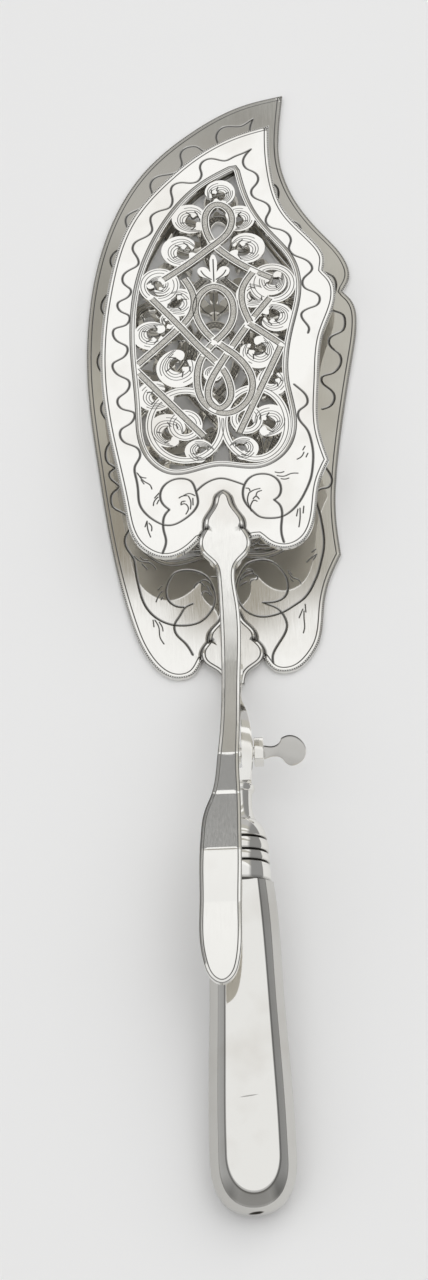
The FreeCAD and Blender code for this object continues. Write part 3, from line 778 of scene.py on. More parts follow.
def sheet_piece(name: str, drawing: SheetDrawing, unit: Unit, top: Points, bottom: Points,
                material: bpy.types.Material, smallest: float = 0.0, ground: Mark = Mark.PLAIN,
                smooth_angle: float = 0.0) -> bpy.types.Object:
    """Make the solid mesh of a drawn sheet, with its openings sawn out and its grooves cut.

    Args:
        name: Name of the piece.
        drawing: What is drawn on the sheet.
        unit: Plane that the sheet lies in.
        top: Heights of its upper face above the pin, each after its y, with y rising.
        bottom: Heights of its lower face in the same form.
        material: Finish.
        smallest: Area in square millimetres below which an opening is not sawn.
        ground: Finish of the straps' cores.
        smooth_angle: Angle in degrees up to which edges are shaded smooth.

    Returns:
        The sheet, a closed mesh with the attributes cut, under, matted and hatched.
    """
    points, _, triangles, _, _, origins = delaunay_2d_cdt(
        drawing.vertices, drawing.edges, drawing.faces, 0, 1e-4, True)
    flat = np.array([tuple(p) for p in points])
    corners = np.array([t for t in triangles if len(t) == 3])
    kept, sheet, cores = (np.zeros(len(corners), bool) for _ in range(3))
    for number, origin in enumerate(origins):
        roles = {drawing.roles[i] for i in origin}
        kinds = {role[0] for role in roles}
        sheet[number] = "outline" in kinds
        stands = "stand" in kinds or any(("ring", i) in roles and ("ring_hole", i) not in roles
                                         for i in range(len(RINGS)))
        kept[number] = sheet[number] and ("panel" not in kinds or stands)
        cores[number] = "core" in kinds
    kept = without_scraps(flat, corners, kept, sheet, smallest)
    a, b, c = (flat[corners[:, i]] for i in range(3))
    turned = np.cross(b - a, c - a) < 0
    corners[turned] = corners[turned][:, ::-1]

    used = np.unique(corners[kept])
    renumber = np.full(len(flat), -1)
    renumber[used] = np.arange(len(used))
    flat, faces = flat[used], renumber[corners[kept]]
    depth, dark = drawing.depths(flat)
    count = len(flat)
    upper = np.column_stack([flat, np.interp(flat[:, 1], *zip(*top)) - depth])
    lower = np.column_stack([flat, np.interp(flat[:, 1], *zip(*bottom))])
    sides = [(i, j) for f in faces for i, j in ((f[0], f[1]), (f[1], f[2]), (f[2], f[0]))]
    known = set(sides)
    walls = [(i, i + count, j + count, j) for i, j in sides if (j, i) not in known]
    all_faces = faces.tolist() + (faces[:, ::-1] + count).tolist() + walls
    piece = new_piece(name, unit.placed(np.vstack([upper, lower])), all_faces, material, smooth_angle)
    record(piece, "cut", np.append(dark, np.zeros(count)))
    under = np.zeros(len(all_faces))
    under[len(faces):2 * len(faces)] = 1
    record(piece, "under", under, "FACE")
    for mark in (Mark.MATTED, Mark.HATCHED):
        worked = np.zeros(len(all_faces))
        worked[:len(faces)] = cores[kept] & (ground is mark)
        record(piece, mark.value, worked, "FACE")
    return piece


def without_scraps(flat: np.ndarray, corners: np.ndarray, kept: np.ndarray, sheet: np.ndarray,
                   smallest: float) -> np.ndarray:
    """Fill openings that no saw would enter and drop metal that nothing holds.

    Args:
        flat: Points of the triangulation.
        corners: Triangles.
        kept: Which triangles are metal.
        sheet: Which triangles lie in the sheet's outline.
        smallest: Least area of an opening.

    Returns:
        Which triangles are metal after the tidying.
    """
    owner: dict[tuple[int, int], list[int]] = {}
    for number, (i, j, k) in enumerate(corners):
        for pair in ((i, j), (j, k), (k, i)):
            owner.setdefault((min(pair), max(pair)), []).append(number)
    group = list(range(len(corners)))

    def root(n: int) -> int:
        """Number that stands for a triangle's group."""
        while group[n] != n:
            group[n] = group[group[n]]
            n = group[n]
        return n

    for pair in owner.values():
        if len(pair) == 2 and sheet[pair[0]] and sheet[pair[1]] and kept[pair[0]] == kept[pair[1]]:
            group[root(pair[0])] = root(pair[1])
    a, b, c = (flat[corners[:, i]] for i in range(3))
    areas = np.abs(np.cross(b - a, c - a)) / 2
    roots = np.array([root(n) for n in range(len(corners))])
    total = np.bincount(roots, areas, len(corners))
    largest = int(np.argmax(np.bincount(roots, areas * kept, len(corners))))
    result = kept.copy()
    result[sheet & ~kept & (total[roots] < smallest)] = True
    result[kept & (roots != largest)] = False
    return result


PANEL_OUTLINE = [
    (6.1, 194.2), (-3.1, 188.4), (-11.4, 179.4), (-18.0, 167.6), (-22.3, 155.4), (-24.3, 143.0),
    (-24.6, 128.0), (-23.6, 109.0), (-20.6, 92.6), (-15.8, 88.6), (-2.4, 90.6), (9.6, 89.6),
    (16.8, 94.6), (19.2, 105.1), (17.7, 117.0), (20.0, 137.0), (22.7, 150.6), (20.8, 161.0),
    (15.7, 168.8), (9.4, 180.2),
]
# Frame of the panel: distance outside it and kind of each cut
PANEL_FRAME = ((0.40, HAIR), (1.15, FRAME), (1.62, EDGE))
STRAPS = [
    [(-16.0, 154.5), (-8.0, 160.4), (-0.9, 166.4), (3.6, 171.0), (4.9, 175.6), (3.4, 180.0), (0.4, 181.4),
     (-2.2, 179.2), (-3.2, 174.4), (-1.8, 168.6), (3.2, 162.4), (9.2, 157.6), (15.6, 153.8)],
    [(-1.4, 132.0), (3.2, 138.0), (4.2, 143.6), (2.2, 149.4), (-1.3, 151.4), (-5.0, 149.2), (-6.9, 143.6),
     (-5.6, 138.0), (-1.4, 132.0), (4.6, 126.4), (8.7, 118.4), (6.8, 110.4), (0.7, 106.8), (-5.2, 110.4),
     (-7.2, 118.4), (-5.8, 126.0), (-1.4, 132.0)],
    [(-19.6, 147.8), (-10.8, 136.4), (-4.9, 128.6), (0.4, 121.8), (2.4, 115.6), (1.5, 110.4), (-1.0, 108.6),
     (-3.5, 110.6), (-4.1, 115.2), (-1.4, 121.8), (3.5, 130.0), (8.9, 138.3), (15.0, 146.6)],
    [(-25.0, 124.0), (-12.5, 136.4), (-8.0, 142.6), (-7.6, 149.0), (-10.0, 154.6)],
    [(-25.0, 123.0), (-5.9, 99.2)],
    [(8.6, 137.8), (19.6, 128.2)],
    [(17.9, 130.4), (4.4, 100.0)],
    [(8.9, 138.3), (7.0, 144.4), (7.2, 150.4), (10.4, 156.0)],
]
RINGS = [
    ((-17.3, 152.4), 4.9, 5.1), ((15.9, 151.8), 5.9, 6.0), ((-10.9, 103.2), 10.4, 11.9),
    ((9.0, 103.1), 9.0, 12.1), ((-11.1, 103.2), 3.9, 4.2), ((6.6, 104.6), 3.6, 4.0),
]
LEAVES = [
    ((-7.8, 176.4), 5.0, 20, 1), ((7.2, 176.0), 4.4, -15, -1), ((-10.8, 164.6), 5.3, 35, 1),
    ((8.8, 165.0), 5.2, -35, -1), ((-11.6, 146.2), 4.8, -70, -1), ((9.8, 148.0), 4.4, 60, 1),
    ((-20.4, 134.6), 4.7, 150, -1), ((16.6, 139.6), 4.8, 205, 1), ((-12.6, 122.6), 6.0, 200, -1),
    ((10.8, 127.4), 5.2, 150, 1), ((-16.2, 101.8), 5.2, 0, 1), ((13.2, 104.0), 5.0, 0, -1),
    ((1.6, 185.6), 4.4, 10, -1), ((-19.6, 113.6), 5.0, 60, 1), ((14.6, 117.0), 4.4, 220, -1),
    ((-7.4, 94.2), 3.8, 110, -1), ((5.6, 94.6), 3.8, 240, 1), ((-17.0, 152.6), 3.6, 250, 1),
    ((15.6, 152.0), 4.2, 120, 1), ((-14.6, 140.0), 2.8, 20, -1), ((-2.6, 120.6), 2.6, 90, 1),
]
LEAF_OUTLINE = [
    (0.10, -1.12), (-0.45, -0.98), (-0.90, -0.55), (-1.04, 0.02), (-0.86, 0.62), (-0.42, 0.98), (0.14, 1.03),
    (0.66, 0.80), (0.96, 0.34), (0.92, -0.12), (0.60, -0.30), (0.56, 0.06), (0.22, -0.02), (0.16, 0.26),
    (-0.16, 0.10), (-0.34, -0.18), (-0.24, -0.52), (0.14, -0.66), (0.30, -0.42), (0.62, -0.72), (0.52, -0.98),
]
LEAF_BACK = [(0.10, -1.12), (-0.62, -0.82), (-1.04, 0.02), (-0.64, 0.84), (0.14, 1.03), (0.82, 0.60),
             (0.92, -0.12)]
LEAF_HOLLOW = [(0.52, -0.98), (0.04, -0.66), (-0.32, -0.26), (-0.18, 0.06), (0.04, 0.06), (0.36, 0.00),
               (0.64, -0.34)]
LEAF_VEINS = ((0.24, 0.0, 0.40), (0.24, 0.66, 1.0), (0.44, 0.0, 1.0), (0.62, 0.10, 0.90), (0.80, 0.22, 0.78))
LEAF_TEETH = [[(0.56, 0.06), (0.50, 0.36)], [(0.16, 0.26), (0.02, 0.50)], [(-0.34, -0.18), (-0.58, -0.10)],
              [(0.14, -0.66), (-0.16, -0.82)]]
PALMETTE = [
    (-1.2, 151.6), (-2.2, 153.6), (-5.2, 155.4), (-5.8, 157.8), (-3.6, 158.4), (-2.2, 156.6), (-2.3, 160.4),
    (-1.2, 163.0), (-0.1, 160.4), (-0.2, 156.6), (1.2, 158.4), (3.4, 157.8), (2.8, 155.4), (-0.2, 153.6),
]
PALMETTE_VEINS = [[(-1.2, 152.6), (-1.2, 161.2)], [(-1.9, 153.9), (-4.2, 155.9), (-4.9, 157.2)],
                  [(-0.5, 153.9), (1.8, 155.9), (2.5, 157.2)]]


@dataclass
class Strapwork:
    """Interlaced straps, rings and curled leaves that are left standing in a sawn panel."""

    width: float
    low: float
    high: float
    band: float = 2.5
    stem: float = 2.2
    edge_margin: float = 0.46
    ring_cut: float = 0.55
    step: float = 0.55
    patch: int = 8
    straps: list = field(default_factory=list)
    levels: list = field(default_factory=list)

    def place(self, points: Points) -> Points:
        """Move drawn points to this panel's own size and place."""
        return fitted(points, PANEL_OUTLINE, self.width, self.low, self.high)

    def weave(self) -> None:
        """Find where the straps cross and let each go over and under by turns."""
        self.straps = [smooth_line(self.place(points), self.step) for points in STRAPS]
        passes: dict[int, list] = {i: [] for i in range(len(self.straps))}
        crossing = 0
        for i, first in enumerate(self.straps):
            for j in range(i, len(self.straps)):
                second = self.straps[j]
                a, b = first[:-1, None], first[1:, None]
                c, d = second[None, :-1], second[None, 1:]
                base = np.cross(b - a, d - c)
                base[np.abs(base) < 1e-12] = 1e-12
                s, t = np.cross(c - a, d - c) / base, np.cross(c - a, b - a) / base
                hits = (s >= 0) & (s < 1) & (t >= 0) & (t < 1)
                for m, n in zip(*np.nonzero(hits)):
                    if i == j and n - m < 8:
                        continue
                    passes[i].append((m, crossing))
                    passes[j].append((n, crossing))
                    crossing += 1
        over: dict[int, tuple[int, int]] = {}
        for i, strap in enumerate(self.straps):
            level = np.ones(len(strap), int)
            places, heights, high = [], [], True
            for at, number in sorted(passes[i]):
                if number in over:
                    high = over[number] == (i, at)
                elif high:
                    over[number] = (i, at)
                else:
                    other = [(k, p) for k in passes for p, n in passes[k] if n == number and (k, p) != (i, at)]
                    over[number] = other[0]
                places.append(at)
                heights.append(int(high))
                high = not high
            if places:
                nearest = np.abs(np.arange(len(strap))[:, None] - np.array(places)[None]).argmin(1)
                level = np.array(heights)[nearest]
            self.levels.append(level)

    def hidden(self, points: np.ndarray, level: np.ndarray, owner: int = -1, reach: float = 0.0) -> np.ndarray:
        """Tell which points of a line pass under a strap.

        Args:
            points: Points of the line.
            level: Level of each point: 0 or 1 on a strap, -1 on a ring or leaf.
            owner: Number of the strap that the line belongs to.
            reach: Extra half width of the covering strap.

        Returns:
            One truth value a point.
        """
        result = np.zeros(len(points), bool)
        order = np.arange(len(points))
        for number, strap in enumerate(self.straps):
            away = distance_to_lines(points, strap[:-1], strap[1:])
            covers = (away < self.band / 2 + reach) & (self.levels[number][:-1][None] > level[:, None])
            if number == owner:
                covers &= np.abs(order[:, None] - np.arange(len(strap) - 1)[None]) > 3 * self.band / self.step
            result |= covers.any(1)
        return result

    @staticmethod
    def runs(points: np.ndarray, shown: np.ndarray) -> list[np.ndarray]:
        """Cut a line into its stretches that show.

        Args:
            points: Points of the line.
            shown: Which of them show.

        Returns:
            The stretches of three points or more.
        """
        found, start = [], None
        for i, visible in enumerate(list(shown) + [False]):
            if visible and start is None:
                start = i
            elif not visible and start is not None:
                if i - start > 2:
                    found.append(points[start:i])
                start = None
        return found

    def draw(self, drawing: SheetDrawing) -> None:
        """Draw the panel, everything that stands in it and the cuts on it.

        Args:
            drawing: Drawing of the sheet.
        """
        self.weave()
        panel = cornered_outline(self.place(PANEL_OUTLINE), [0], 0.7)
        drawing.area(panel, ("panel",))
        for distance, graver in PANEL_FRAME:
            drawing.engrave(looped(panel - inward_steps(panel) * distance), graver)
        for number, strap in enumerate(self.straps):
            self.draw_strap(drawing, number, strap, panel)
        for number, (centre, wide, tall) in enumerate(RINGS):
            self.draw_ring(drawing, number, centre, wide, tall)
        for centre, half, turn, curl in LEAVES:
            self.draw_leaf(drawing, centre, half, turn, curl, panel)
        drawing.area(smooth_line(self.place(PALMETTE), self.step, closed=True), ("stand",))
        for vein in PALMETTE_VEINS:
            self.engrave_shown(drawing, smooth_line(self.place(vein), self.step), FINE, panel)

    def draw_strap(self, drawing: SheetDrawing, number: int, strap: np.ndarray, panel: np.ndarray) -> None:
        """Draw one strap: its band, its core and the cut along each edge of the core.

        Args:
            drawing: Drawing of the sheet.
            number: Number of the strap.
            strap: Its centre line.
            panel: Outline of the panel.
        """
        side = side_steps(strap)
        level = self.levels[number]
        for a in range(0, len(strap) - 1, self.patch):
            b = min(a + self.patch, len(strap) - 1)
            edge = side[a:b + 1] * self.band / 2
            drawing.area(np.vstack([strap[a:b + 1] + edge, (strap[a:b + 1] - edge)[::-1]]), ("stand",))
        within = inside(strap, panel)
        core = side * (self.band / 2 - self.edge_margin)
        shown = ~self.hidden(strap, level, number) & within
        table = np.column_stack([strap + core, strap - core])
        for run in self.runs(table, shown):
            for a in range(0, len(run) - 1, self.patch):
                part = run[a:a + self.patch + 1]
                if len(part) > 1:
                    drawing.area(np.vstack([part[:, :2], part[::-1, 2:]]), ("core",))
        for edge in (strap + core, strap - core):
            for run in self.runs(edge, ~self.hidden(edge, level, number) & inside(edge, panel)):
                drawing.engrave(run, EDGE)

    def draw_ring(self, drawing: SheetDrawing, number: int, centre: tuple, wide: float, tall: float) -> None:
        """Draw one oval ring with two cuts round it.

        Args:
            drawing: Drawing of the sheet.
            number: Number of the ring.
            centre: Its middle, as drawn.
            wide: Half its width, as drawn.
            tall: Half its height, as drawn.
        """
        middle = np.array(self.place([centre])[0])
        scale = np.array(self.place([(1.0, 1.0)])[0]) - np.array(self.place([(0.0, 0.0)])[0])
        half = np.array([wide, tall]) * scale
        turn = np.linspace(0, 2 * math.pi, int(2 * math.pi * half.mean() / self.step), endpoint=False)
        around = np.stack([np.cos(turn), np.sin(turn)], 1)
        drawing.area(middle + around * (half + self.stem / 2), ("ring", number))
        drawing.area(middle + around * (half - self.stem / 2), ("ring_hole", number))
        for change in (self.ring_cut, -self.ring_cut):
            ring = looped(middle + around * (half + change))
            for run in self.runs(ring, ~self.hidden(ring, np.full(len(ring), -1))):
                drawing.engrave(run, HAIR)

    def draw_leaf(self, drawing: SheetDrawing, centre: tuple, half: float, turn: float, curl: int,
                  panel: np.ndarray) -> None:
        """Draw one curled leaf with its veins.

        Args:
            drawing: Drawing of the sheet.
            centre: Its middle, as drawn.
            half: Half its size, as drawn.
            turn: Its turn in degrees.
            curl: Side that it curls to, 1 or -1.
            panel: Outline of the panel.
        """
        cosine, sine = math.cos(math.radians(turn)), math.sin(math.radians(turn))

        def laid(points: Points) -> Points:
            """Turn, curl and size the leaf's own points."""
            return self.place([(centre[0] + half * (x * curl * cosine - y * sine),
                                centre[1] + half * (x * curl * sine + y * cosine)) for x, y in points])

        drawing.area(smooth_line(laid(LEAF_OUTLINE), self.step, closed=True), ("stand",))
        for share, start, stop in LEAF_VEINS:
            vein = [(a + (c - a) * share, b + (d - b) * share)
                    for (a, b), (c, d) in zip(LEAF_BACK, LEAF_HOLLOW)]
            line = smooth_line(laid(vein), self.step)
            self.engrave_shown(drawing, line[int(len(line) * start):int(len(line) * stop)], HAIR, panel)
        for tooth in LEAF_TEETH:
            self.engrave_shown(drawing, smooth_line(laid(tooth), self.step), FINE, panel)

    def engrave_shown(self, drawing: SheetDrawing, line: np.ndarray, graver: Graver, panel: np.ndarray) -> None:
        """Cut the stretches of a line that lie in the panel and pass under no strap.

        Args:
            drawing: Drawing of the sheet.
            line: Centre line of the cut.
            graver: Kind of cut.
            panel: Outline of the panel.
        """
        shown = ~self.hidden(line, np.full(len(line), -1), reach=0.1) & inside(line, panel)
        for run in self.runs(line, shown):
            drawing.engrave(run, graver)


# Blades

LOWER_OUTLINE = [
    (22.0, 221.7), (9.6, 218.6), (-6.4, 209.6), (-20.9, 196.2), (-32.2, 175.5), (-38.6, 146.2),
    (-39.4, 125.7), (-37.0, 97.9), (-33.5, 71.1), (-28.2, 46.5), (-23.6, 35.2), (-16.1, 29.1),
    (-11.6, 30.0), (-8.6, 34.4), (0.0, 38.0), (8.6, 34.4), (11.6, 30.6), (16.8, 30.3), (21.6, 34.0),
    (24.2, 38.2), (26.4, 50.1), (28.3, 57.6), (32.0, 65.7), (31.2, 78.0), (31.8, 89.2), (34.2, 106.0),
    (38.6, 129.5), (40.4, 140.5), (39.4, 148.6), (36.8, 152.0), (39.1, 157.0), (38.3, 162.2),
    (31.3, 172.8), (23.2, 186.4), (20.2, 198.5), (20.6, 211.0),
]
UPPER_OUTLINE = [
    (17.3, 210.4), (9.2, 208.0), (-2.6, 201.8), (-13.2, 192.4), (-24.9, 177.0), (-32.0, 154.0),
    (-34.9, 126.0), (-33.2, 102.9), (-28.9, 76.7), (-24.4, 62.9), (-17.4, 59.4), (-11.4, 61.8),
    (-8.2, 65.0), (-1.1, 68.0), (6.0, 65.0), (8.4, 65.4), (11.2, 62.6), (15.6, 61.1), (20.3, 62.8),
    (24.5, 71.0), (26.4, 82.5), (29.4, 89.8), (27.2, 100.2), (27.8, 117.0), (30.0, 133.5),
    (34.1, 146.4), (33.6, 152.0), (31.0, 156.0), (31.5, 160.6), (28.6, 166.8), (20.8, 178.0),
    (17.5, 191.5), (17.0, 203.0),
]

# Wriggle-work round the upper blade, each a smooth run from the tip
UPPER_WAVES = [
    [(11.6, 201.6), (9.1, 200.2), (6.4, 199.0), (3.6, 197.6), (0.9, 198.3), (-1.5, 198.5), (-3.5, 197.0),
     (-4.0, 195.2), (-3.6, 192.9), (-4.8, 190.3), (-7.2, 189.7), (-10.2, 190.0), (-12.3, 189.0), (-13.0, 186.9),
     (-12.6, 183.9), (-13.4, 181.0), (-16.4, 179.8), (-19.2, 177.6), (-19.2, 175.0), (-19.0, 172.4),
     (-21.4, 170.1), (-24.1, 168.4), (-24.9, 166.1), (-23.7, 163.1), (-23.3, 160.5), (-25.8, 158.6),
     (-27.9, 156.4), (-27.7, 153.5), (-25.7, 151.2), (-26.6, 148.8), (-29.6, 146.7), (-29.0, 143.9),
     (-26.4, 142.0), (-27.1, 139.1), (-30.8, 137.5), (-30.4, 133.6), (-27.2, 131.0), (-27.9, 127.9),
     (-31.4, 125.3), (-30.3, 121.7), (-26.9, 119.1), (-27.5, 115.7), (-30.2, 113.0), (-29.4, 109.9),
     (-25.6, 108.0), (-26.3, 105.0), (-29.5, 102.4), (-29.0, 98.6), (-25.0, 96.1), (-24.2, 93.3),
     (-25.7, 90.0), (-25.5, 86.0), (-25.0, 81.6), (-24.6, 77.0), (-22.9, 73.9), (-19.9, 71.2), (-17.7, 70.1),
     (-15.4, 70.1), (-12.6, 71.5), (-9.7, 74.0), (-8.2, 76.9), (-8.4, 79.6), (-8.9, 81.9), (-10.2, 84.5),
     (-12.5, 85.3), (-15.3, 84.9), (-17.9, 82.7), (-18.8, 80.0), (-18.1, 77.0), (-16.3, 75.1)],
    [(11.6, 201.6), (9.7, 199.1), (9.0, 196.8), (9.8, 194.5), (11.9, 193.1), (13.3, 191.0), (12.9, 188.7),
     (11.2, 186.2), (11.2, 184.3), (13.0, 182.6), (15.3, 181.2), (16.4, 178.9), (15.4, 176.3), (15.0, 174.1),
     (16.4, 172.2), (19.1, 171.2), (21.4, 169.4), (22.1, 166.8), (21.4, 164.3), (22.5, 162.0), (25.1, 160.5),
     (27.1, 158.9), (27.9, 156.3), (26.3, 154.3), (24.9, 152.2), (25.2, 150.0), (27.5, 148.4), (29.5, 146.5),
     (29.0, 143.7), (26.3, 142.4), (24.0, 140.4), (24.9, 137.5), (26.0, 135.0), (25.6, 133.6)],
    [(20.7, 115.9), (22.4, 114.1), (24.2, 111.3), (24.1, 108.9), (21.7, 106.6), (21.6, 103.9), (23.5, 100.7),
     (24.7, 96.6), (25.1, 92.5), (24.8, 88.1), (24.1, 84.1), (22.5, 79.9), (20.6, 76.3), (17.9, 73.1),
     (15.0, 71.4), (11.9, 71.1), (9.1, 71.7), (6.9, 73.9), (5.1, 76.7), (4.6, 80.0), (5.6, 83.3), (7.7, 85.4),
     (10.3, 85.9), (12.8, 85.3), (15.0, 82.9), (15.4, 80.2), (14.7, 78.2), (13.3, 77.1)],
    [(-16.3, 75.1), (-17.6, 73.4), (-18.2, 70.8), (-18.0, 67.8), (-17.5, 64.8), (-18.2, 61.9), (-18.6, 60.9)],
    [(13.3, 77.1), (14.9, 75.2), (15.4, 72.6), (15.0, 68.6), (15.0, 65.4), (15.5, 63.0)],
    [(-8.5, 80.9), (-6.6, 82.8), (-4.0, 84.4), (-1.4, 84.9), (1.7, 84.0), (5.0, 82.5)],
]
UPPER_STROKES = [
    [(-13.5, 78.8), (-12.6, 79.4), (-11.2, 79.5)], [(-12.4, 79.4), (-10.6, 80.2), (-9.0, 79.4)],
    [(-10.9, 79.4), (-10.3, 78.0), (-10.4, 75.0)], [(-13.0, 76.8), (-12.7, 77.6), (-11.8, 77.7)],
    [(-13.0, 76.5), (-12.1, 76.9), (-11.0, 75.7), (-11.7, 73.4)], [(-9.6, 78.6), (-9.6, 76.3)],
    [(5.5, 81.3), (6.4, 81.1), (6.6, 80.3)], [(6.3, 79.6), (7.8, 80.6), (9.5, 81.0)],
    [(9.9, 80.3), (8.7, 79.8), (8.3, 78.7)], [(7.4, 77.6), (8.3, 78.5), (9.1, 77.5)],
    [(7.0, 76.3), (7.6, 77.2), (8.5, 76.8)], [(7.1, 76.6), (6.6, 75.3), (6.7, 73.6)],
    [(6.3, 79.6), (5.8, 77.3), (6.3, 75.0)], [(-25.2, 87.7), (-24.1, 86.3), (-22.7, 85.9)],
    [(-24.9, 87.3), (-23.0, 84.6), (-21.6, 83.5), (-21.1, 82.1)], [(-24.1, 85.3), (-23.3, 83.9)],
    [(-19.1, 80.7), (-20.4, 79.1)], [(-19.4, 79.4), (-20.6, 77.8), (-20.8, 76.6)],
    [(-19.2, 78.4), (-19.8, 77.1)], [(-22.7, 71.6), (-23.3, 69.7)],
    [(-22.7, 71.6), (-22.5, 68.6), (-21.8, 66.3)],
    [(-22.2, 70.9), (-21.5, 69.9), (-21.5, 68.3)], [(14.0, 86.3), (15.4, 86.0), (16.5, 86.3)],
    [(14.5, 85.1), (16.5, 84.8), (18.5, 85.6), (20.5, 85.6)], [(15.6, 84.0), (16.7, 83.8), (17.8, 84.1)],
    [(20.4, 90.3), (21.6, 91.0), (22.5, 92.6)], [(22.2, 93.3), (22.9, 94.6)], [(23.0, 90.9), (23.6, 92.2)],
    [(19.9, 73.7), (19.4, 71.4)], [(20.5, 74.0), (20.3, 70.1), (19.9, 67.8)], [(21.6, 74.6), (21.3, 72.3)],
]

# Wriggle-work round the lower blade; what the upper blade hides carries on in the same rhythm
LOWER_WAVES = [
    [(12.7, 213.6), (10.8, 212.2), (9.0, 211.2), (6.2, 211.2), (3.2, 210.8), (1.9, 209.4), (1.3, 206.9),
     (1.7, 205.1), (-0.2, 203.0), (-2.9, 202.8), (-4.7, 204.3), (-6.5, 204.5), (-8.6, 203.7), (-9.8, 201.6),
     (-9.4, 198.8), (-10.6, 196.0), (-14.0, 194.8), (-17.7, 193.8), (-19.2, 191.0), (-18.6, 187.8),
     (-20.4, 184.4), (-24.0, 182.4), (-26.6, 180.4), (-26.6, 177.2), (-25.4, 173.6), (-27.2, 170.2),
     (-30.6, 168.0), (-31.6, 164.4), (-29.6, 160.8), (-29.8, 157.0), (-32.8, 153.8), (-34.7, 149.0),
     (-32.6, 145.4), (-31.0, 141.8), (-33.0, 137.4), (-36.2, 131.4), (-34.8, 127.4), (-32.2, 124.2),
     (-33.0, 120.4), (-35.4, 116.2), (-33.8, 111.6), (-31.4, 108.2), (-33.4, 103.9), (-34.3, 101.9),
     (-34.4, 99.3), (-33.4, 97.3), (-31.8, 96.0), (-33.3, 94.7), (-33.1, 92.5), (-30.8, 89.8), (-32.6, 87.9),
     (-33.2, 85.4), (-32.7, 83.4), (-31.0, 82.1), (-29.0, 80.7), (-27.9, 78.7), (-28.0, 76.2), (-29.1, 74.3),
     (-29.5, 72.1), (-28.7, 69.5), (-27.3, 67.0), (-26.6, 62.5), (-25.8, 57.5), (-24.8, 53.4), (-22.9, 49.8),
     (-20.1, 47.2), (-16.8, 45.7), (-13.1, 45.3), (-8.9, 46.2), (-6.0, 48.8), (-4.4, 52.2), (-4.6, 56.0),
     (-6.2, 59.8), (-8.9, 61.8), (-12.1, 62.5), (-15.5, 61.7), (-17.6, 58.7), (-18.2, 55.9), (-17.2, 52.7),
     (-14.9, 51.2), (-13.3, 51.0)],
    [(12.7, 213.6), (11.6, 209.7), (12.7, 206.0), (15.4, 202.8), (16.0, 199.4), (14.2, 195.8), (15.4, 191.8),
     (18.8, 189.0), (19.0, 185.0), (18.4, 181.2), (21.4, 177.8), (25.0, 175.4), (25.4, 171.6), (25.6, 167.8),
     (28.6, 165.0), (30.6, 162.4), (30.8, 159.5), (32.2, 158.4), (34.0, 157.3), (35.0, 154.8), (34.6, 152.1),
     (33.3, 149.4), (31.7, 147.5), (33.1, 145.7), (34.8, 145.0), (36.5, 143.9), (37.0, 141.5), (36.3, 138.8),
     (34.1, 137.5), (32.3, 136.3), (31.9, 134.6), (33.0, 132.5), (34.7, 130.8), (35.2, 128.4), (34.1, 125.8),
     (31.7, 124.2), (29.3, 123.3), (29.2, 121.6), (30.9, 119.6), (32.5, 117.5), (32.4, 115.2), (31.2, 113.6),
     (28.8, 112.7)],
    [(28.0, 95.4), (29.0, 93.4), (30.3, 90.8), (30.5, 88.8), (29.3, 87.2), (27.0, 86.7), (25.7, 85.1),
     (26.1, 80.6), (27.0, 75.2), (27.3, 70.4), (27.0, 67.2), (26.1, 63.5), (25.1, 60.0), (23.8, 57.0),
     (22.3, 54.2), (20.5, 52.1), (18.4, 50.6), (15.2, 48.6), (12.1, 47.5), (9.2, 47.1), (6.4, 47.7),
     (3.9, 49.4), (2.3, 51.9), (1.6, 55.1), (2.0, 58.2), (3.3, 61.3), (5.1, 63.7), (7.7, 64.7), (10.2, 64.8),
     (12.8, 63.7), (14.9, 61.4), (16.2, 58.8), (16.4, 55.7), (15.7, 53.5), (14.0, 52.1), (11.4, 51.5),
     (9.1, 51.5)],
    [(-10.7, 52.0), (-12.7, 51.0), (-14.5, 48.3), (-16.0, 45.8), (-15.8, 43.0), (-13.3, 39.9), (-11.2, 36.1)],
    [(9.1, 51.5), (11.1, 50.6), (13.3, 49.3), (14.9, 47.0), (15.6, 44.2), (14.3, 40.6), (12.2, 37.3),
     (11.2, 34.9), (11.2, 32.7)],
]
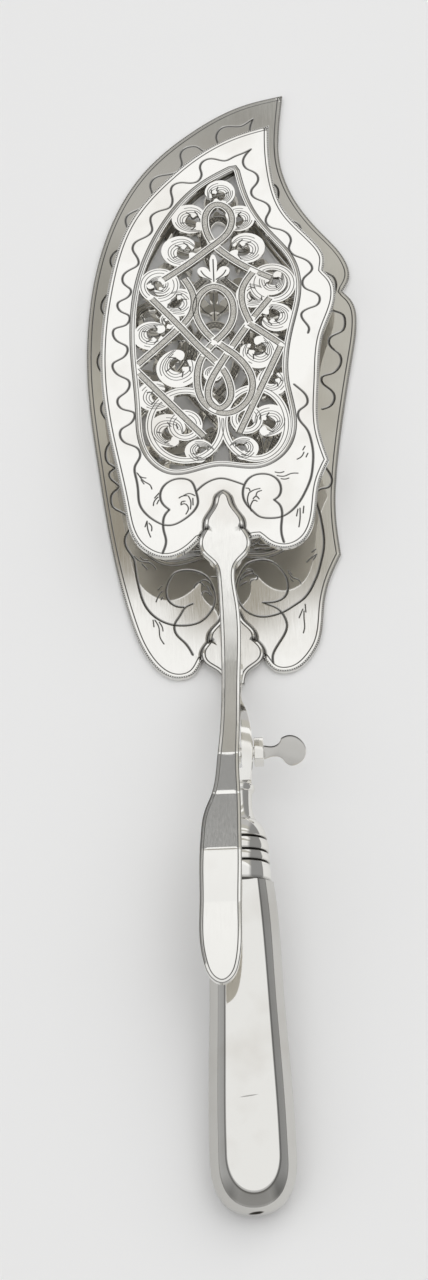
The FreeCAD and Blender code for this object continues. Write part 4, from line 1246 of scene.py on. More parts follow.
LOWER_STROKES = [
    [(-10.2, 56.8), (-9.6, 58.0), (-8.5, 58.5), (-7.4, 57.3)],
    [(-8.5, 58.6), (-7.3, 59.2), (-6.2, 58.7), (-4.9, 56.0)],
    [(-8.0, 54.5), (-7.7, 55.5), (-6.9, 55.6), (-5.8, 54.4)], [(-6.5, 57.3), (-5.2, 54.1)],
    [(2.6, 57.5), (3.2, 59.7), (4.7, 61.2), (6.4, 61.5), (6.9, 60.5)],
    [(2.9, 58.8), (4.6, 60.0), (6.4, 60.7), (7.5, 60.2), (8.0, 59.2), (7.4, 58.6)],
    [(2.8, 56.9), (4.0, 57.8), (4.9, 58.2)], [(5.7, 57.4), (6.0, 58.3), (6.9, 58.8)],
    [(4.7, 61.8), (5.9, 62.1), (6.7, 61.4)], [(-25.3, 67.2), (-24.2, 66.2), (-23.1, 66.1)],
    [(-27.0, 67.6), (-25.3, 65.9), (-22.5, 65.2), (-20.9, 63.2)], [(-24.8, 65.0), (-23.4, 63.3)],
    [(-19.3, 57.8), (-20.5, 56.6)], [(-19.3, 56.2), (-20.5, 54.4), (-21.1, 52.9)],
    [(-19.1, 54.4), (-19.7, 53.5)],
    [(-22.1, 47.3), (-21.9, 45.2)], [(-21.6, 47.3), (-20.5, 44.8), (-20.3, 42.0), (-19.2, 39.8)],
    [(-20.4, 46.6), (-19.6, 45.1), (-19.4, 43.8)], [(16.6, 61.3), (17.7, 60.0)],
    [(16.9, 60.4), (18.2, 58.8), (19.6, 58.1), (20.1, 56.8)], [(17.1, 58.8), (17.9, 57.8)],
    [(24.9, 67.6), (23.7, 66.7)], [(25.1, 66.0), (23.3, 64.8), (22.1, 63.6)], [(24.8, 65.4), (23.9, 64.2)],
    [(20.3, 49.0), (19.1, 46.3)], [(20.6, 48.4), (20.5, 45.6), (20.5, 43.1), (20.1, 41.6)],
    [(21.0, 50.5), (21.1, 48.0)], [(-10.4, 68.8), (-9.5, 70.3), (-8.4, 69.3)], [(-11.3, 68.3), (-7.9, 68.4)],
    [(-13.4, 66.7), (-11.1, 66.8), (-7.4, 66.9)], [(-5.3, 60.1), (-3.6, 60.0)], [(6.5, 70.1), (8.7, 70.0)],
    [(6.1, 68.3), (10.1, 68.4)],
]


# Half outline of a shoulder plate, from the tip past the side cusp to the neck
SHOULDER_HALF = [(0.0, 80.6), (1.5, 79.4), (2.5, 76.2), (5.2, 71.0), (5.5, 68.0), (7.1, 64.4), (6.6, 60.3),
                 (3.2, 56.0), (2.4, 51.6)]
SHOULDER_CUSP = 4


@dataclass(frozen=True)
class Shoulder:
    """Cusped plate soldered on a blade: its width, the y of its neck and tip, and the x of its middle."""

    width: float
    low: float
    high: float
    centre: float = 0.0

    def halves(self) -> tuple[Points, Points]:
        """Both halves of the plate's outline.

        Returns:
            Right half from the tip down, and left half from the neck up, without the tip.
        """
        drawn = SHOULDER_HALF + [(-x, y) for x, y in reversed(SHOULDER_HALF[1:])]
        points = [(x + self.centre, y) for x, y in fitted(drawn, drawn, self.width, self.low, self.high)]
        return points[:len(SHOULDER_HALF)], points[len(SHOULDER_HALF):]


LOWER_SHOULDER = Shoulder(17.2, 26.1, 50.1)
UPPER_SHOULDER = Shoulder(14.2, 51.4, 80.4, -1.1)


@dataclass
class Blade:
    """One engraved and pierced blade, sawn from sheet silver."""

    name: str
    node: str
    unit: Unit
    body: Body
    outline: list
    corners: list
    width: float
    heel: float
    length: float
    top: float
    gauge: float
    panel_width: float
    panel_low: float
    panel_high: float
    waves: list
    strokes: list
    ground: Mark
    shoulder: Shoulder
    step: float = 0.8
    milled_inset: float = 0.36
    border_inset: float = 1.35
    chamfer: float = 0.18
    # distance outside the plate of the dark solder joint and its painted contact shadow
    solder_shadow_offset: float = 0.34
    tick_sink: float = 0.12
    smallest_opening: float = 0.9

    def ring(self) -> np.ndarray:
        """Outline of the blade."""
        points = fitted(self.outline, self.outline, self.width, self.heel, self.heel + self.length)
        return cornered_outline(points, self.corners, self.step)

    def build(self, silver: bpy.types.Material) -> None:
        """Build the sheet and its milled edge.

        Args:
            silver: Finish of the blade.
        """
        drawing = SheetDrawing()
        ring = self.ring()
        drawing.area(ring, ("outline",))
        inward = inward_steps(ring)
        drawing.cuts.append((looped(ring), Graver(2 * self.chamfer, self.chamfer, 0.0)))
        drawing.line(looped(ring + inward * self.chamfer))
        line = ring + inward * self.milled_inset
        drawing.engrave(looped(line), MILLING)
        drawing.engrave(looped(ring + inward * self.border_inset), BORDER)
        plate = sum(self.shoulder.halves(), [])
        seam = cornered_outline(plate, [0, SHOULDER_CUSP, len(plate) - SHOULDER_CUSP], 0.6)
        # dark solder joint with painted contact shadow, on the blade just outside the shoulder plate
        outside = seam - inward_steps(seam) * self.solder_shadow_offset
        for run in Strapwork.runs(outside, inside(outside, ring)):
            drawing.engrave(run, SOLDER_AND_SHADOW)
        Strapwork(self.panel_width, self.panel_low, self.panel_high).draw(drawing)
        for wave in self.waves:
            drawing.engrave(smooth_line(wave, 0.7), WRIGGLE)
        for stroke in self.strokes:
            drawing.engrave(smooth_line(stroke, 0.5), FINE)
        sheet = sheet_piece(self.name, drawing, self.unit, [(0.0, self.top)], [(0.0, self.top - self.gauge)],
                            silver, self.smallest_opening, self.ground)
        settle(sheet, self.body, Slot.BLADE, self.node)
        height = np.full((len(line), 1), self.top - self.tick_sink)
        edge = MilledEdge(self.name + "_milled_edge", self.unit).build(np.hstack([line, height]), silver)
        settle(edge, self.body, Slot.BLADE)


@dataclass
class MilledEdge:
    """Row of small raised ticks that a milling wheel leaves along an edge.

    The real pitch is about 0.35 mm; it is drawn at 0.66 mm so that it shows at the photograph's size.
    """

    name: str
    unit: Unit
    pitch: float = 0.66
    tick_length: float = 0.44
    tick_width: float = 0.34
    tick_height: float = 0.17

    def tree(self, silver: bpy.types.Material) -> bpy.types.NodeTree:
        """Build the node tree that sets one tick at each step of the edge.

        Args:
            silver: Finish of the ticks.

        Returns:
            Geometry Nodes tree with the inputs Pitch and Tick Size.
        """
        tree = bpy.data.node_groups.new(self.name, "GeometryNodeTree")
        face = tree.interface
        face.new_socket("Geometry", in_out="INPUT", socket_type="NodeSocketGeometry")
        face.new_socket("Pitch", in_out="INPUT", socket_type="NodeSocketFloat")
        face.new_socket("Tick Size", in_out="INPUT", socket_type="NodeSocketVector")
        face.new_socket("Plane Normal", in_out="INPUT", socket_type="NodeSocketVector")
        face.new_socket("Geometry", in_out="OUTPUT", socket_type="NodeSocketGeometry")
        given = add_node(tree, "NodeGroupInput").outputs
        edge = add_node(tree, "GeometryNodeMeshToCurve", {0: given["Geometry"]})
        steps = add_node(tree, "GeometryNodeResampleCurve", {
            "Curve": edge.outputs[0], "Length": given["Pitch"]}, mode="LENGTH")
        cone = add_node(tree, "GeometryNodeMeshCone", {
            "Vertices": 4, "Radius Bottom": 0.7071, "Radius Top": 0.42, "Depth": 1.0}, fill_type="NGON")
        square = add_node(tree, "GeometryNodeTransform", {
            "Geometry": cone.outputs["Mesh"], "Rotation": (0.0, 0.0, math.radians(45))})
        tick = add_node(tree, "GeometryNodeTransform", {
            "Geometry": square.outputs[0], "Scale": given["Tick Size"]})
        flat = add_node(tree, "FunctionNodeAlignRotationToVector", {"Vector": given["Plane Normal"]}, axis="Z")
        along = add_node(tree, "FunctionNodeAlignRotationToVector", {
            "Rotation": flat.outputs[0], "Vector": add_node(tree, "GeometryNodeInputTangent").outputs[0]},
            axis="X", pivot_axis="Z")
        row = add_node(tree, "GeometryNodeInstanceOnPoints", {
            "Points": steps.outputs[0], "Instance": tick.outputs[0], "Rotation": along.outputs[0]})
        real = add_node(tree, "GeometryNodeRealizeInstances", {0: row.outputs[0]})
        dressed = add_node(tree, "GeometryNodeSetMaterial", {"Geometry": real.outputs[0], "Material": silver})
        add_node(tree, "NodeGroupOutput", {0: dressed.outputs[0]})
        return tree

    def build(self, line: np.ndarray, silver: bpy.types.Material) -> bpy.types.Object:
        """Build the ticks along a closed line.

        Args:
            line: Points of the line in the unit's plane, in millimetres.
            silver: Finish of the ticks.

        Returns:
            The row of ticks as one plain mesh.
        """
        mesh = bpy.data.meshes.new(self.name)
        count = len(line)
        steps = [(i, (i + 1) % count) for i in range(count)]
        mesh.from_pydata((self.unit.placed(line) * MM).tolist(), steps, [])
        piece = bpy.data.objects.new(self.name, mesh)
        bpy.context.scene.collection.objects.link(piece)
        modifier = piece.modifiers.new("milling", "NODES")
        tree = self.tree(silver)
        modifier.node_group = tree
        normal = self.unit.placed(np.array([[0.0, 0.0, 1.0]]))[0] - HINGE
        values = {"Pitch": self.pitch * MM, "Plane Normal": tuple(normal),
                  "Tick Size": (self.tick_width * MM, self.tick_length * MM, self.tick_height * MM)}
        for item in tree.interface.items_tree:
            if item.in_out == "INPUT" and item.name in values:
                modifier[item.identifier] = values[item.name]
        baked(piece)
        return piece


# Filed bevel of the forged plates, with the net of lines that keeps its triangles short
BEVEL = Graver(1.9, 0.20, 0.0)
NOTCH = Graver(1.9, 0.6, 1.0)
RIM_FOOT = 0.16
NET_STEP = 1.5
NET_REACH = 30.0


def bevelled(outline: Points, corners: list[int], stations: list[float], rim: Graver) -> SheetDrawing:
    """Draw a plate with a filed bevel all round.

    Args:
        outline: Points of the outline.
        corners: Numbers of the sharp points.
        stations: y of the lines across it, where its faces bend.
        rim: Dark cut along the top and the foot of the bevel.

    Returns:
        The drawing.
    """
    drawing = SheetDrawing()
    ring = cornered_outline(outline, corners, 0.6)
    drawing.area(ring, ("outline",))
    drawing.cuts.append((looped(ring), BEVEL))
    for inset in (BEVEL.width / 2, RIM_FOOT):
        drawing.engrave(looped(ring + inward_steps(ring) * inset), rim)
    across, along = ring[:, 0], ring[:, 1]
    for y in stations + list(np.arange(along.min(), along.max(), NET_STEP)):
        drawing.line(np.array([(-NET_REACH, y), (NET_REACH, y)]))
    for x in np.arange(across.min(), across.max(), NET_STEP):
        drawing.line(np.array([(x, along.min() - 1.0), (x, along.max() + 1.0)]))
    return drawing


def notched(drawing: SheetDrawing, outline: Points, reach: float) -> None:
    """File a notch at both cusps of a shoulder plate.

    Args:
        drawing: Drawing of the plate.
        outline: Outline that starts with the plate's right half and ends with its left one.
        reach: Length of the notch from the cusp inwards.
    """
    for number, side in ((SHOULDER_CUSP, 1), (-SHOULDER_CUSP, -1)):
        cusp = np.array(outline[number])
        drawing.engrave(np.array([cusp + (side * 0.3, 0.0), cusp + (-side * reach, 0.2)]), NOTCH)


@dataclass
class UpperLever:
    """Strap arm, shoulder plate, grip and hinge tongue of the swinging unit."""

    top: tuple = ((-71.0, 7.95), (-48.0, 9.30), (-33.7, 10.42), (-33.3, 10.46), (-15.9, 8.05), (-15.5, 8.05),
                  (-3.2, 6.32), (-2.8, 6.30), (15.0, 6.40), (25.0, 6.40), (35.0, 6.34), (81.0, 6.10))
    bottom: tuple = ((-71.0, 6.40), (-48.0, 7.60), (-33.4, 8.60), (-16.0, 6.20), (-4.6, 3.80), (57.4, 3.80),
                     (57.5, 5.00), (81.0, 5.00))
    grip: tuple = ((2.0, 44.0), (1.7, 20.0), (0.8, 2.0), (0.4, -4.5), (0.4, -16.0), (0.35, -21.4), (0.2, -29.0),
                   (0.0, -37.0), (-0.5, -48.2), (-0.8, -58.0), (-1.7, -64.6), (-3.6, -68.8), (-6.3, -70.2),
                   (-9.0, -68.8), (-10.9, -64.6), (-11.8, -58.0), (-11.5, -48.2), (-11.2, -37.0),
                   (-10.6, -29.0), (-9.4, -21.4), (-7.4, -16.0), (-5.5, -4.5), (-4.7, 2.0), (-3.5, 20.0),
                   (-3.3, 44.0))
    shade_inset: float = 0.42
    tongue_radius: float = 3.1
    tongue_half: float = 0.9

    def build(self, silver: bpy.types.Material) -> None:
        """Build the lever and its tongue.

        Args:
            silver: Finish of the lever.
        """
        right, left = UPPER_SHOULDER.halves()
        outline = right + list(self.grip) + left
        corners = [0, SHOULDER_CUSP, len(outline) - SHOULDER_CUSP]
        stations = [y for y, _ in self.top[1:-1]]
        drawing = bevelled(outline, corners, stations, Graver(0.34, 0.08, 1.3))
        notched(drawing, outline, 0.7)
        # a broad shallow shade lies along the grip's left edge
        left_side = smooth_line([(x + self.shade_inset, y) for x, y in self.grip[14:21]], 0.6)
        drawing.engrave(left_side, Graver(0.95, 0.05, 0.7))
        lever = sheet_piece("upper_lever_arm", drawing, UPPER, self.top, self.bottom, silver,
                            smooth_angle=14.0)
        settle(lever, Body.UPPER_UNIT, Slot.FORGED, "upper_lever")
        radius, half = self.tongue_radius, self.tongue_half
        around = [(radius * math.cos(a), radius * math.sin(a)) for a in np.linspace(math.pi, 2 * math.pi, 13)]
        tongue = prism("hinge_tongue", around + [(4.3, 4.0), (-radius, 4.0)], -half, half, "x", UPPER, silver,
                       0.15)
        bored(tongue, UPPER)
        settle(tongue, Body.UPPER_UNIT, Slot.FORGED, "upper_lever")


def prism(name: str, outline: Points, low: float, high: float, axis: str, unit: Unit,
          material: bpy.types.Material, softened: float) -> bpy.types.Object:
    """Make a plate from an outline, with softened edges.

    Args:
        name: Name of the piece.
        outline: Outline in the two axes that are left, in their order.
        low: Lower end along the axis.
        high: Upper end along the axis.
        axis: Axis that the outline is drawn across.
        unit: Plane of the unit.
        material: Finish.
        softened: Width of the bevel on its sharp edges.

    Returns:
        The plate.
    """
    flat = np.array(outline, float)
    place = "xyz".index(axis)
    vertices = np.vstack([np.insert(flat, place, value, axis=1) for value in (low, high)])
    piece = new_piece(name, unit.placed(vertices), rings_to_faces(2, len(flat)), material)
    outward(piece)
    if softened:
        bevel = piece.modifiers.new("softened", "BEVEL")
        bevel.width = softened * MM
        bevel.segments = 3
        bevel.limit_method = "ANGLE"
        bevel.angle_limit = math.radians(35)
        baked(piece)
    smoothed(piece.data, 22)
    return piece


def cut_away(piece: bpy.types.Object, tool: bpy.types.Object) -> None:
    """Cut one closed mesh out of another and delete it.

    Args:
        piece: Mesh that is cut.
        tool: Mesh that is taken away.
    """
    cut = piece.modifiers.new("cut", "BOOLEAN")
    cut.operation = "DIFFERENCE"
    cut.solver = "EXACT"
    cut.object = tool
    baked(piece)
    bpy.data.objects.remove(tool)


def rod_mesh(profile: Points, axis: str, unit: Unit, material: bpy.types.Material, name: str,
             count: int = 64, smooth_angle: float = 30.0) -> bpy.types.Object:
    """Turn a profile about an axis of a unit.

    Args:
        profile: Place along the axis and radius of each step.
        axis: Axis that it turns about, x or y.
        unit: Plane of the unit.
        material: Finish.
        name: Name of the piece.
        count: Sides round the rod.
        smooth_angle: Angle in degrees up to which edges are shaded smooth.

    Returns:
        The closed rod.
    """
    turn = np.linspace(0, 2 * math.pi, count, endpoint=False)
    rings = []
    for at, radius in profile:
        ring = np.stack([np.full(count, at), radius * np.cos(turn), radius * np.sin(turn)], 1)
        rings.append(ring if axis == "x" else ring[:, [1, 0, 2]])
    piece = new_piece(name, unit.placed(np.vstack(rings)), rings_to_faces(len(rings), count), material,
                      smooth_angle)
    outward(piece)
    return piece


def bored(piece: bpy.types.Object, unit: Unit) -> None:
    """Bore a piece for the hinge pin."""
    tool = rod_mesh([(-12.0, 1.6), (12.0, 1.6)], "x", unit, piece.data.materials[0], "bore")
    cut_away(piece, tool)


@dataclass
class Stem:
    """Forged stem of the lower unit: shoulder plate, rising forked neck, round rod and bead ring."""

    upper_side: tuple = ((32.4, -13.62), (26.5, -12.6), (21.5, -9.0), (17.0, -4.2), (12.0, 0.8), (6.5, 3.0),
                         (0.0, 3.4), (-6.0, 3.1), (-9.0, 2.9))
    under_side: tuple = ((32.4, -14.9), (25.0, -14.8), (19.0, -12.7), (13.5, -8.2), (7.0, -4.6), (0.0, -3.4),
                         (-5.0, -3.9), (-9.0, -4.2))
    half_widths: tuple = ((32.4, 3.0), (26.0, 2.3), (20.5, 1.9), (16.4, 2.2), (13.1, 2.9), (9.3, 3.6),
                          (4.2, 4.15), (0.6, 4.3), (-3.6, 4.1), (-9.0, 3.5))
    rod: tuple = ((6.4, 0.2), (6.4, 3.3), (6.7, 3.6), (8.9, 3.6), (9.2, 3.7), (9.35, 4.1), (9.7, 4.32),
                  (10.3, 4.42), (10.9, 4.32), (11.25, 4.1), (11.4, 3.7), (11.7, 3.58), (13.6, 3.5),
                  (15.4, 3.52), (17.0, 3.7), (18.2, 4.0), (19.2, 4.4), (19.6, 4.65), (19.6, 0.2))
    plate_top: float = -13.6
    plate_foot: float = -14.9
    slot_back: float = -5.6
    slot_front: float = 14.0
    slot_half: float = 1.2

    @staticmethod
    def along(table: tuple, places: np.ndarray) -> np.ndarray:
        """Smooth value of a table at places along y."""
        curve = smooth_line(list(reversed(table)), 0.3)
        return np.interp(places, curve[:, 0], curve[:, 1])

    def build(self, silver: bpy.types.Material) -> None:
        """Build the shoulder plate, the neck and the rod.

        Args:
            silver: Finish of the stem.
        """
        outline = sum(LOWER_SHOULDER.halves(), [])
        last = len(SHOULDER_HALF) - 1
        corners = [0, SHOULDER_CUSP, last, last + 1, len(outline) - SHOULDER_CUSP]
        drawing = bevelled(outline, corners, [], Graver(0.44, 0.10, 1.8))
        notched(drawing, outline, 0.8)
        plate = sheet_piece("lower_shoulder", drawing, LEVEL, [(0.0, self.plate_top)],
                            [(0.0, self.plate_foot)], silver)
        settle(plate, Body.SLICE, Slot.FORGED, "stem")

        places = np.linspace(self.upper_side[0][0], self.upper_side[-1][0], 70)
        rings = []
        sides = (self.along(table, places) for table in (self.upper_side, self.under_side, self.half_widths))
        for y, high, low, half in zip(places, *sides):
            soft = min(0.55, 0.3 * half, 0.3 * (high - low))
            quarter = [(half, 0.4 * soft), (half - 0.3 * soft, 0.12 * soft), (half - soft, 0.0)]
            rounded = quarter + [(-x, z) for x, z in reversed(quarter)]
            section = [(x, high - z * 1.6) for x, z in rounded] + [(-x, low + z * 1.6) for x, z in rounded]
            rings.append([(x, y, z) for x, z in section])
        neck = new_piece("forked_neck", LEVEL.placed(np.array(rings).reshape(-1, 3)),
                         rings_to_faces(len(rings), len(rings[0])), silver)
        outward(neck)
        back, front = self.slot_back, self.slot_front
        slot = prism("slot", [(back, -30.0), (front, -30.0), (front, 30.0), (back, 30.0)], -self.slot_half,
                     self.slot_half, "x", LEVEL, silver, 0.0)
        cut_away(neck, slot)
        bored(neck, LEVEL)
        smoothed(neck.data, 24)
        settle(neck, Body.SLICE, Slot.FORGED, "stem")
        rod = rod_mesh([(-y, r) for y, r in self.rod], "y", HANDLE, silver, "stem_rod")
        settle(rod, Body.SLICE, Slot.FORGED, "stem")


@dataclass
class Ferrule:
    """Turned collar between stem and handle: barrel-shaped bands parted by dark grooves."""

    steps: tuple = ((19.6, 3.0, 0), (19.6, 4.9, 0.4), (19.9, 5.2, 0), (20.6, 5.75, 0), (21.6, 6.35, 0),
                    (22.8, 6.85, 0), (24.0, 7.15, 0), (24.5, 7.15, 0), (24.75, 6.95, 0.6), (25.0, 6.45, 1),
                    (25.2, 7.0, 0.9), (25.45, 7.3, 0), (26.3, 7.52, 0), (27.2, 7.6, 0), (28.0, 7.55, 0),
                    (28.4, 7.4, 0.2), (28.7, 6.85, 1), (28.95, 7.3, 0.8), (29.2, 7.55, 0), (30.0, 7.72, 0),
                    (30.8, 7.74, 0), (31.35, 7.6, 0.2), (31.65, 7.05, 1), (31.9, 7.5, 0.8), (32.15, 7.7, 0),
                    (33.2, 7.84, 0), (34.6, 7.9, 0), (35.9, 7.9, 0), (36.7, 7.82, 0.5), (37.0, 7.55, 1),
                    (37.0, 3.0, 0))
    sides: int = 96

    def build(self, silver: bpy.types.Material) -> None:
        """Build the collar.

        Args:
            silver: Finish of the collar.
        """
        profile = [(-y, r) for y, r, _ in self.steps]
        piece = rod_mesh(profile, "y", HANDLE, silver, "reeded_ferrule", self.sides, 26.0)
        record(piece, "cut", np.repeat([tone for _, _, tone in self.steps], self.sides))
        settle(piece, Body.SLICE, Slot.HANDLE, "ferrule")


@dataclass
class Rail:
    """One long edge of the handle, which runs down the right side, round the end and back up the left."""

    half_widths: tuple
    bend: float
    end: float
    power: float

    def ring(self, start: float, inset: float, sides: int = 46, round_steps: int = 16) -> np.ndarray:
        """Points of the rail.

        Args:
            start: Distance of its first point from the hinge pin.
            inset: Distance that the rail is moved inwards.
            sides: Points along each side.
            round_steps: Points round each half of the end.

        Returns:
            Rows of x and distance from the pin.
        """
        curve = smooth_line(list(self.half_widths), 0.5)
        down = np.linspace(start, self.bend, sides)
        half = np.interp(down, curve[:, 0], curve[:, 1]) - inset
        angle = np.linspace(0, math.pi / 2, round_steps)[1:]
        end = self.end - 1.5 * inset - self.bend
        far = self.bend + end * np.sin(angle) ** (2 / self.power)
        wide = half[-1] * np.maximum(np.cos(angle), 0) ** (2 / self.power)
        right = np.column_stack([np.concatenate([half, wide]), np.concatenate([down, far])])
        left = right[-2::-1] * (-1, 1)
        return np.vstack([right, left])


@dataclass
class HandleHalf:
    """Half of the hollow handle: flat front panel with a round end, a bevel round it and a rounded side."""

    name: str
    node: str
    side: int
    end_heights: tuple
    heights: tuple = ((37.0, 6.86), (42.6, 7.1), (65.0, 7.33), (86.0, 7.6), (100.0, 7.76), (107.0, 7.8))
    wall: float = 0.8
    start: float = 37.0
    half_width: float = 11.3
    seam_height: float = 0.16
    seam_depth: float = 0.09
    panel: Rail = field(default_factory=lambda: Rail(
        ((37.0, 3.95), (42.6, 4.35), (65.0, 5.45), (86.0, 6.2), (100.0, 6.68), (107.0, 6.78), (112.0, 6.8)),
        110.1, 119.7, 2.05))
    middle: Rail = field(default_factory=lambda: Rail(
        ((37.0, 6.15), (42.6, 6.65), (65.0, 7.6), (86.0, 8.45), (100.0, 8.93), (107.0, 9.05), (113.0, 9.1)),
        111.5, 123.6, 2.25))
    outer: Rail = field(default_factory=lambda: Rail(
        ((37.0, 8.36), (42.6, 8.93), (65.0, 9.77), (86.0, 10.68), (100.0, 11.2), (107.0, 11.3), (112.0, 11.3)),
        110.0, 124.75, 2.4))

    def rings(self, inset: float) -> list[np.ndarray]:
        """Rings of the half, from the panel to the seam.

        Args:
            inset: Distance from the outer surface.

        Returns:
            One array of x, y, z a ring.
        """
        start = self.start + inset
        lines = [rail.ring(start, inset) for rail in (self.panel, self.middle, self.outer)]
        levels = []
        for line, share in zip(lines, (1.0, 0.80, 0.32)):
            height = np.interp(line[:, 1], *zip(*self.heights, *self.end_heights))
            levels.append(np.column_stack([line[:, 0], -line[:, 1], self.side * share * (height - inset)]))
        panel, middle, outer = levels
        centre = np.column_stack([
            np.zeros(len(panel)), np.clip(panel[:, 1], -self.panel.bend, None), panel[:, 2]])
        seam = outer.copy()
        seam[:, 2] = 0.0
        lip = seam.copy()
        lip[:, 2] = self.side * self.seam_height
        inner_lip = seam * (1 - self.seam_depth / self.half_width, 1, 1)
        if inset:
            return [panel, middle, outer, seam]
        # close rings beside each ridge round it only a little
        steps = ((panel, centre, (0.075, 0.02)), (panel, middle, (0.06, 0.13, 0.24, 0.86)),
                 (middle, outer, (0.03, 0.20, 0.80)), (outer, seam, (0.06, 0.35)))
        rings = [first + (second - first) * share for first, second, shares in steps for share in shares]
        return rings + [lip, inner_lip]

    @staticmethod
    def film(piece: bpy.types.Object, outside: list[np.ndarray], total: int) -> None:
        """Paint shade into the crease beside the panel, and onto the bevel round the end and the sides, darker
        on the left.

        Args:
            piece: The half.
            outside: Its outer rings.
            total: Number of all its rings.
        """
        cut = np.zeros((total, len(outside[0])))
        # painted shade in the crease beside the panel, carried as cut
        cut[2:5] = np.array([[0.25], [0.75], [0.10]])
        # painted shade on the bevel round the end and on the sides, darker on the left
        painted_shade = np.zeros_like(cut)
        for number, ring in enumerate(outside):
            far = np.clip((-ring[:, 1] - 115.0) / 5.0, 0, 1)
            if 3 <= number <= 5:
                painted_shade[number] = 0.60 * far
            elif number > 5:
                painted_shade[number] = 0.38 - 0.006 * ring[:, 0]
        record(piece, "cut", cut)
        record(piece, "painted_shade", painted_shade)

    def build(self, silver: bpy.types.Material) -> None:
        """Build the half as a closed shell.

        Args:
            silver: Finish of the handle.
        """
        outside, inside_rings = self.rings(0.0), self.rings(self.wall)
        every = outside + inside_rings
        count = len(every[0])
        faces = []

        def number(ring: int, place: int) -> int:
            """Vertex number of a place on a ring."""
            return ring * count + place

        for first, rings in ((0, len(outside)), (len(outside), len(inside_rings))):
            for ring in range(first, first + rings - 1):
                faces += [
                    (number(ring, i), number(ring, i + 1), number(ring + 1, i + 1), number(ring + 1, i))
                    for i in range(count - 1)]
            half = count // 2
            for i in range(half):
                j = count - 1 - i
                if j - 1 > i + 1:
                    faces.append((number(first, i), number(first, j), number(first, j - 1),
                                  number(first, i + 1)))
                elif j - 1 == i + 1:
                    faces.append((number(first, i), number(first, j), number(first, i + 1)))
            front = [number(ring, 0) for ring in range(first, first + rings)]
            front += [number(ring, count - 1) for ring in range(first + rings - 1, first - 1, -1)]
            faces.append(tuple(front))
        seam, core = len(outside) - 1, len(every) - 1
        faces += [(number(seam, i), number(core, i), number(core, i + 1), number(seam, i + 1))
                  for i in range(count - 1)]
        faces.append((number(seam, 0), number(core, 0), number(core, count - 1), number(seam, count - 1)))
        piece = new_piece(self.name, HANDLE.placed(np.vstack(every)), faces, silver, 30.0)
        self.film(piece, outside, len(every))
        outward(piece)
        settle(piece, Body.SLICE, Slot.HANDLE, self.node)


@dataclass
class HingePin:
    """Pin with a square block head and the flat spade-shaped key let into it."""

    key_outline: tuple = ((6.6, 1.9), (7.6, 1.75), (9.0, 1.5), (10.4, 1.7), (11.5, 2.5), (12.0, 3.7),
                          (13.6, 4.35), (15.6, 4.2), (17.4, 3.0), (18.6, 1.1), (18.75, -0.5),
                          (18.0, -2.4), (16.4, -3.7),
                          (14.5, -4.1), (12.9, -3.1), (12.0, -1.9), (10.6, -1.4), (9.1, -1.5), (7.8, -1.9),
                          (6.6, -2.2))
    block_start: float = 4.6
    block_end: float = 7.2
    block_half: float = 3.1
    key_half: float = 0.6

    def build(self, silver: bpy.types.Material) -> None:
        """Build the pin, its head and the key.

        Args:
            silver: Finish of the pin.
        """
        shaft = rod_mesh([(-4.42, 0.2), (-4.42, 1.2), (-4.25, 1.5), (4.8, 1.5), (4.8, 0.2)], "x", LEVEL,
                         silver, "pin_shaft", 40)
        settle(shaft, Body.KEY_PIN, Slot.FORGED, "hinge_pin")
        low, high, half = self.block_start, self.block_end, self.block_half
        block = prism("pin_block", [(low, -half), (high, -half), (high, half), (low, half)], -half, half, "z",
                      LEVEL, silver, 0.28)
        settle(block, Body.KEY_PIN, Slot.FORGED, "hinge_pin")
        outline = cornered_outline(list(self.key_outline), [0, 5, 14, 19], 0.5)
        key = prism("key_leaf", outline.tolist(), -self.key_half, self.key_half, "z", KEY, silver, 0.40)
        # painted shade: the key's far edge is darkened by the way its faces point
        turn = math.radians(KEY.turn)
        normals = np.array([vertex.normal[:] for vertex in key.data.vertices])
        facing = normals @ (0, math.cos(turn), math.sin(turn))
        record(key, "cut", np.clip(1.8 * facing - 0.5, 0, 1))
        settle(key, Body.KEY_PIN, Slot.FORGED, "pin_key")


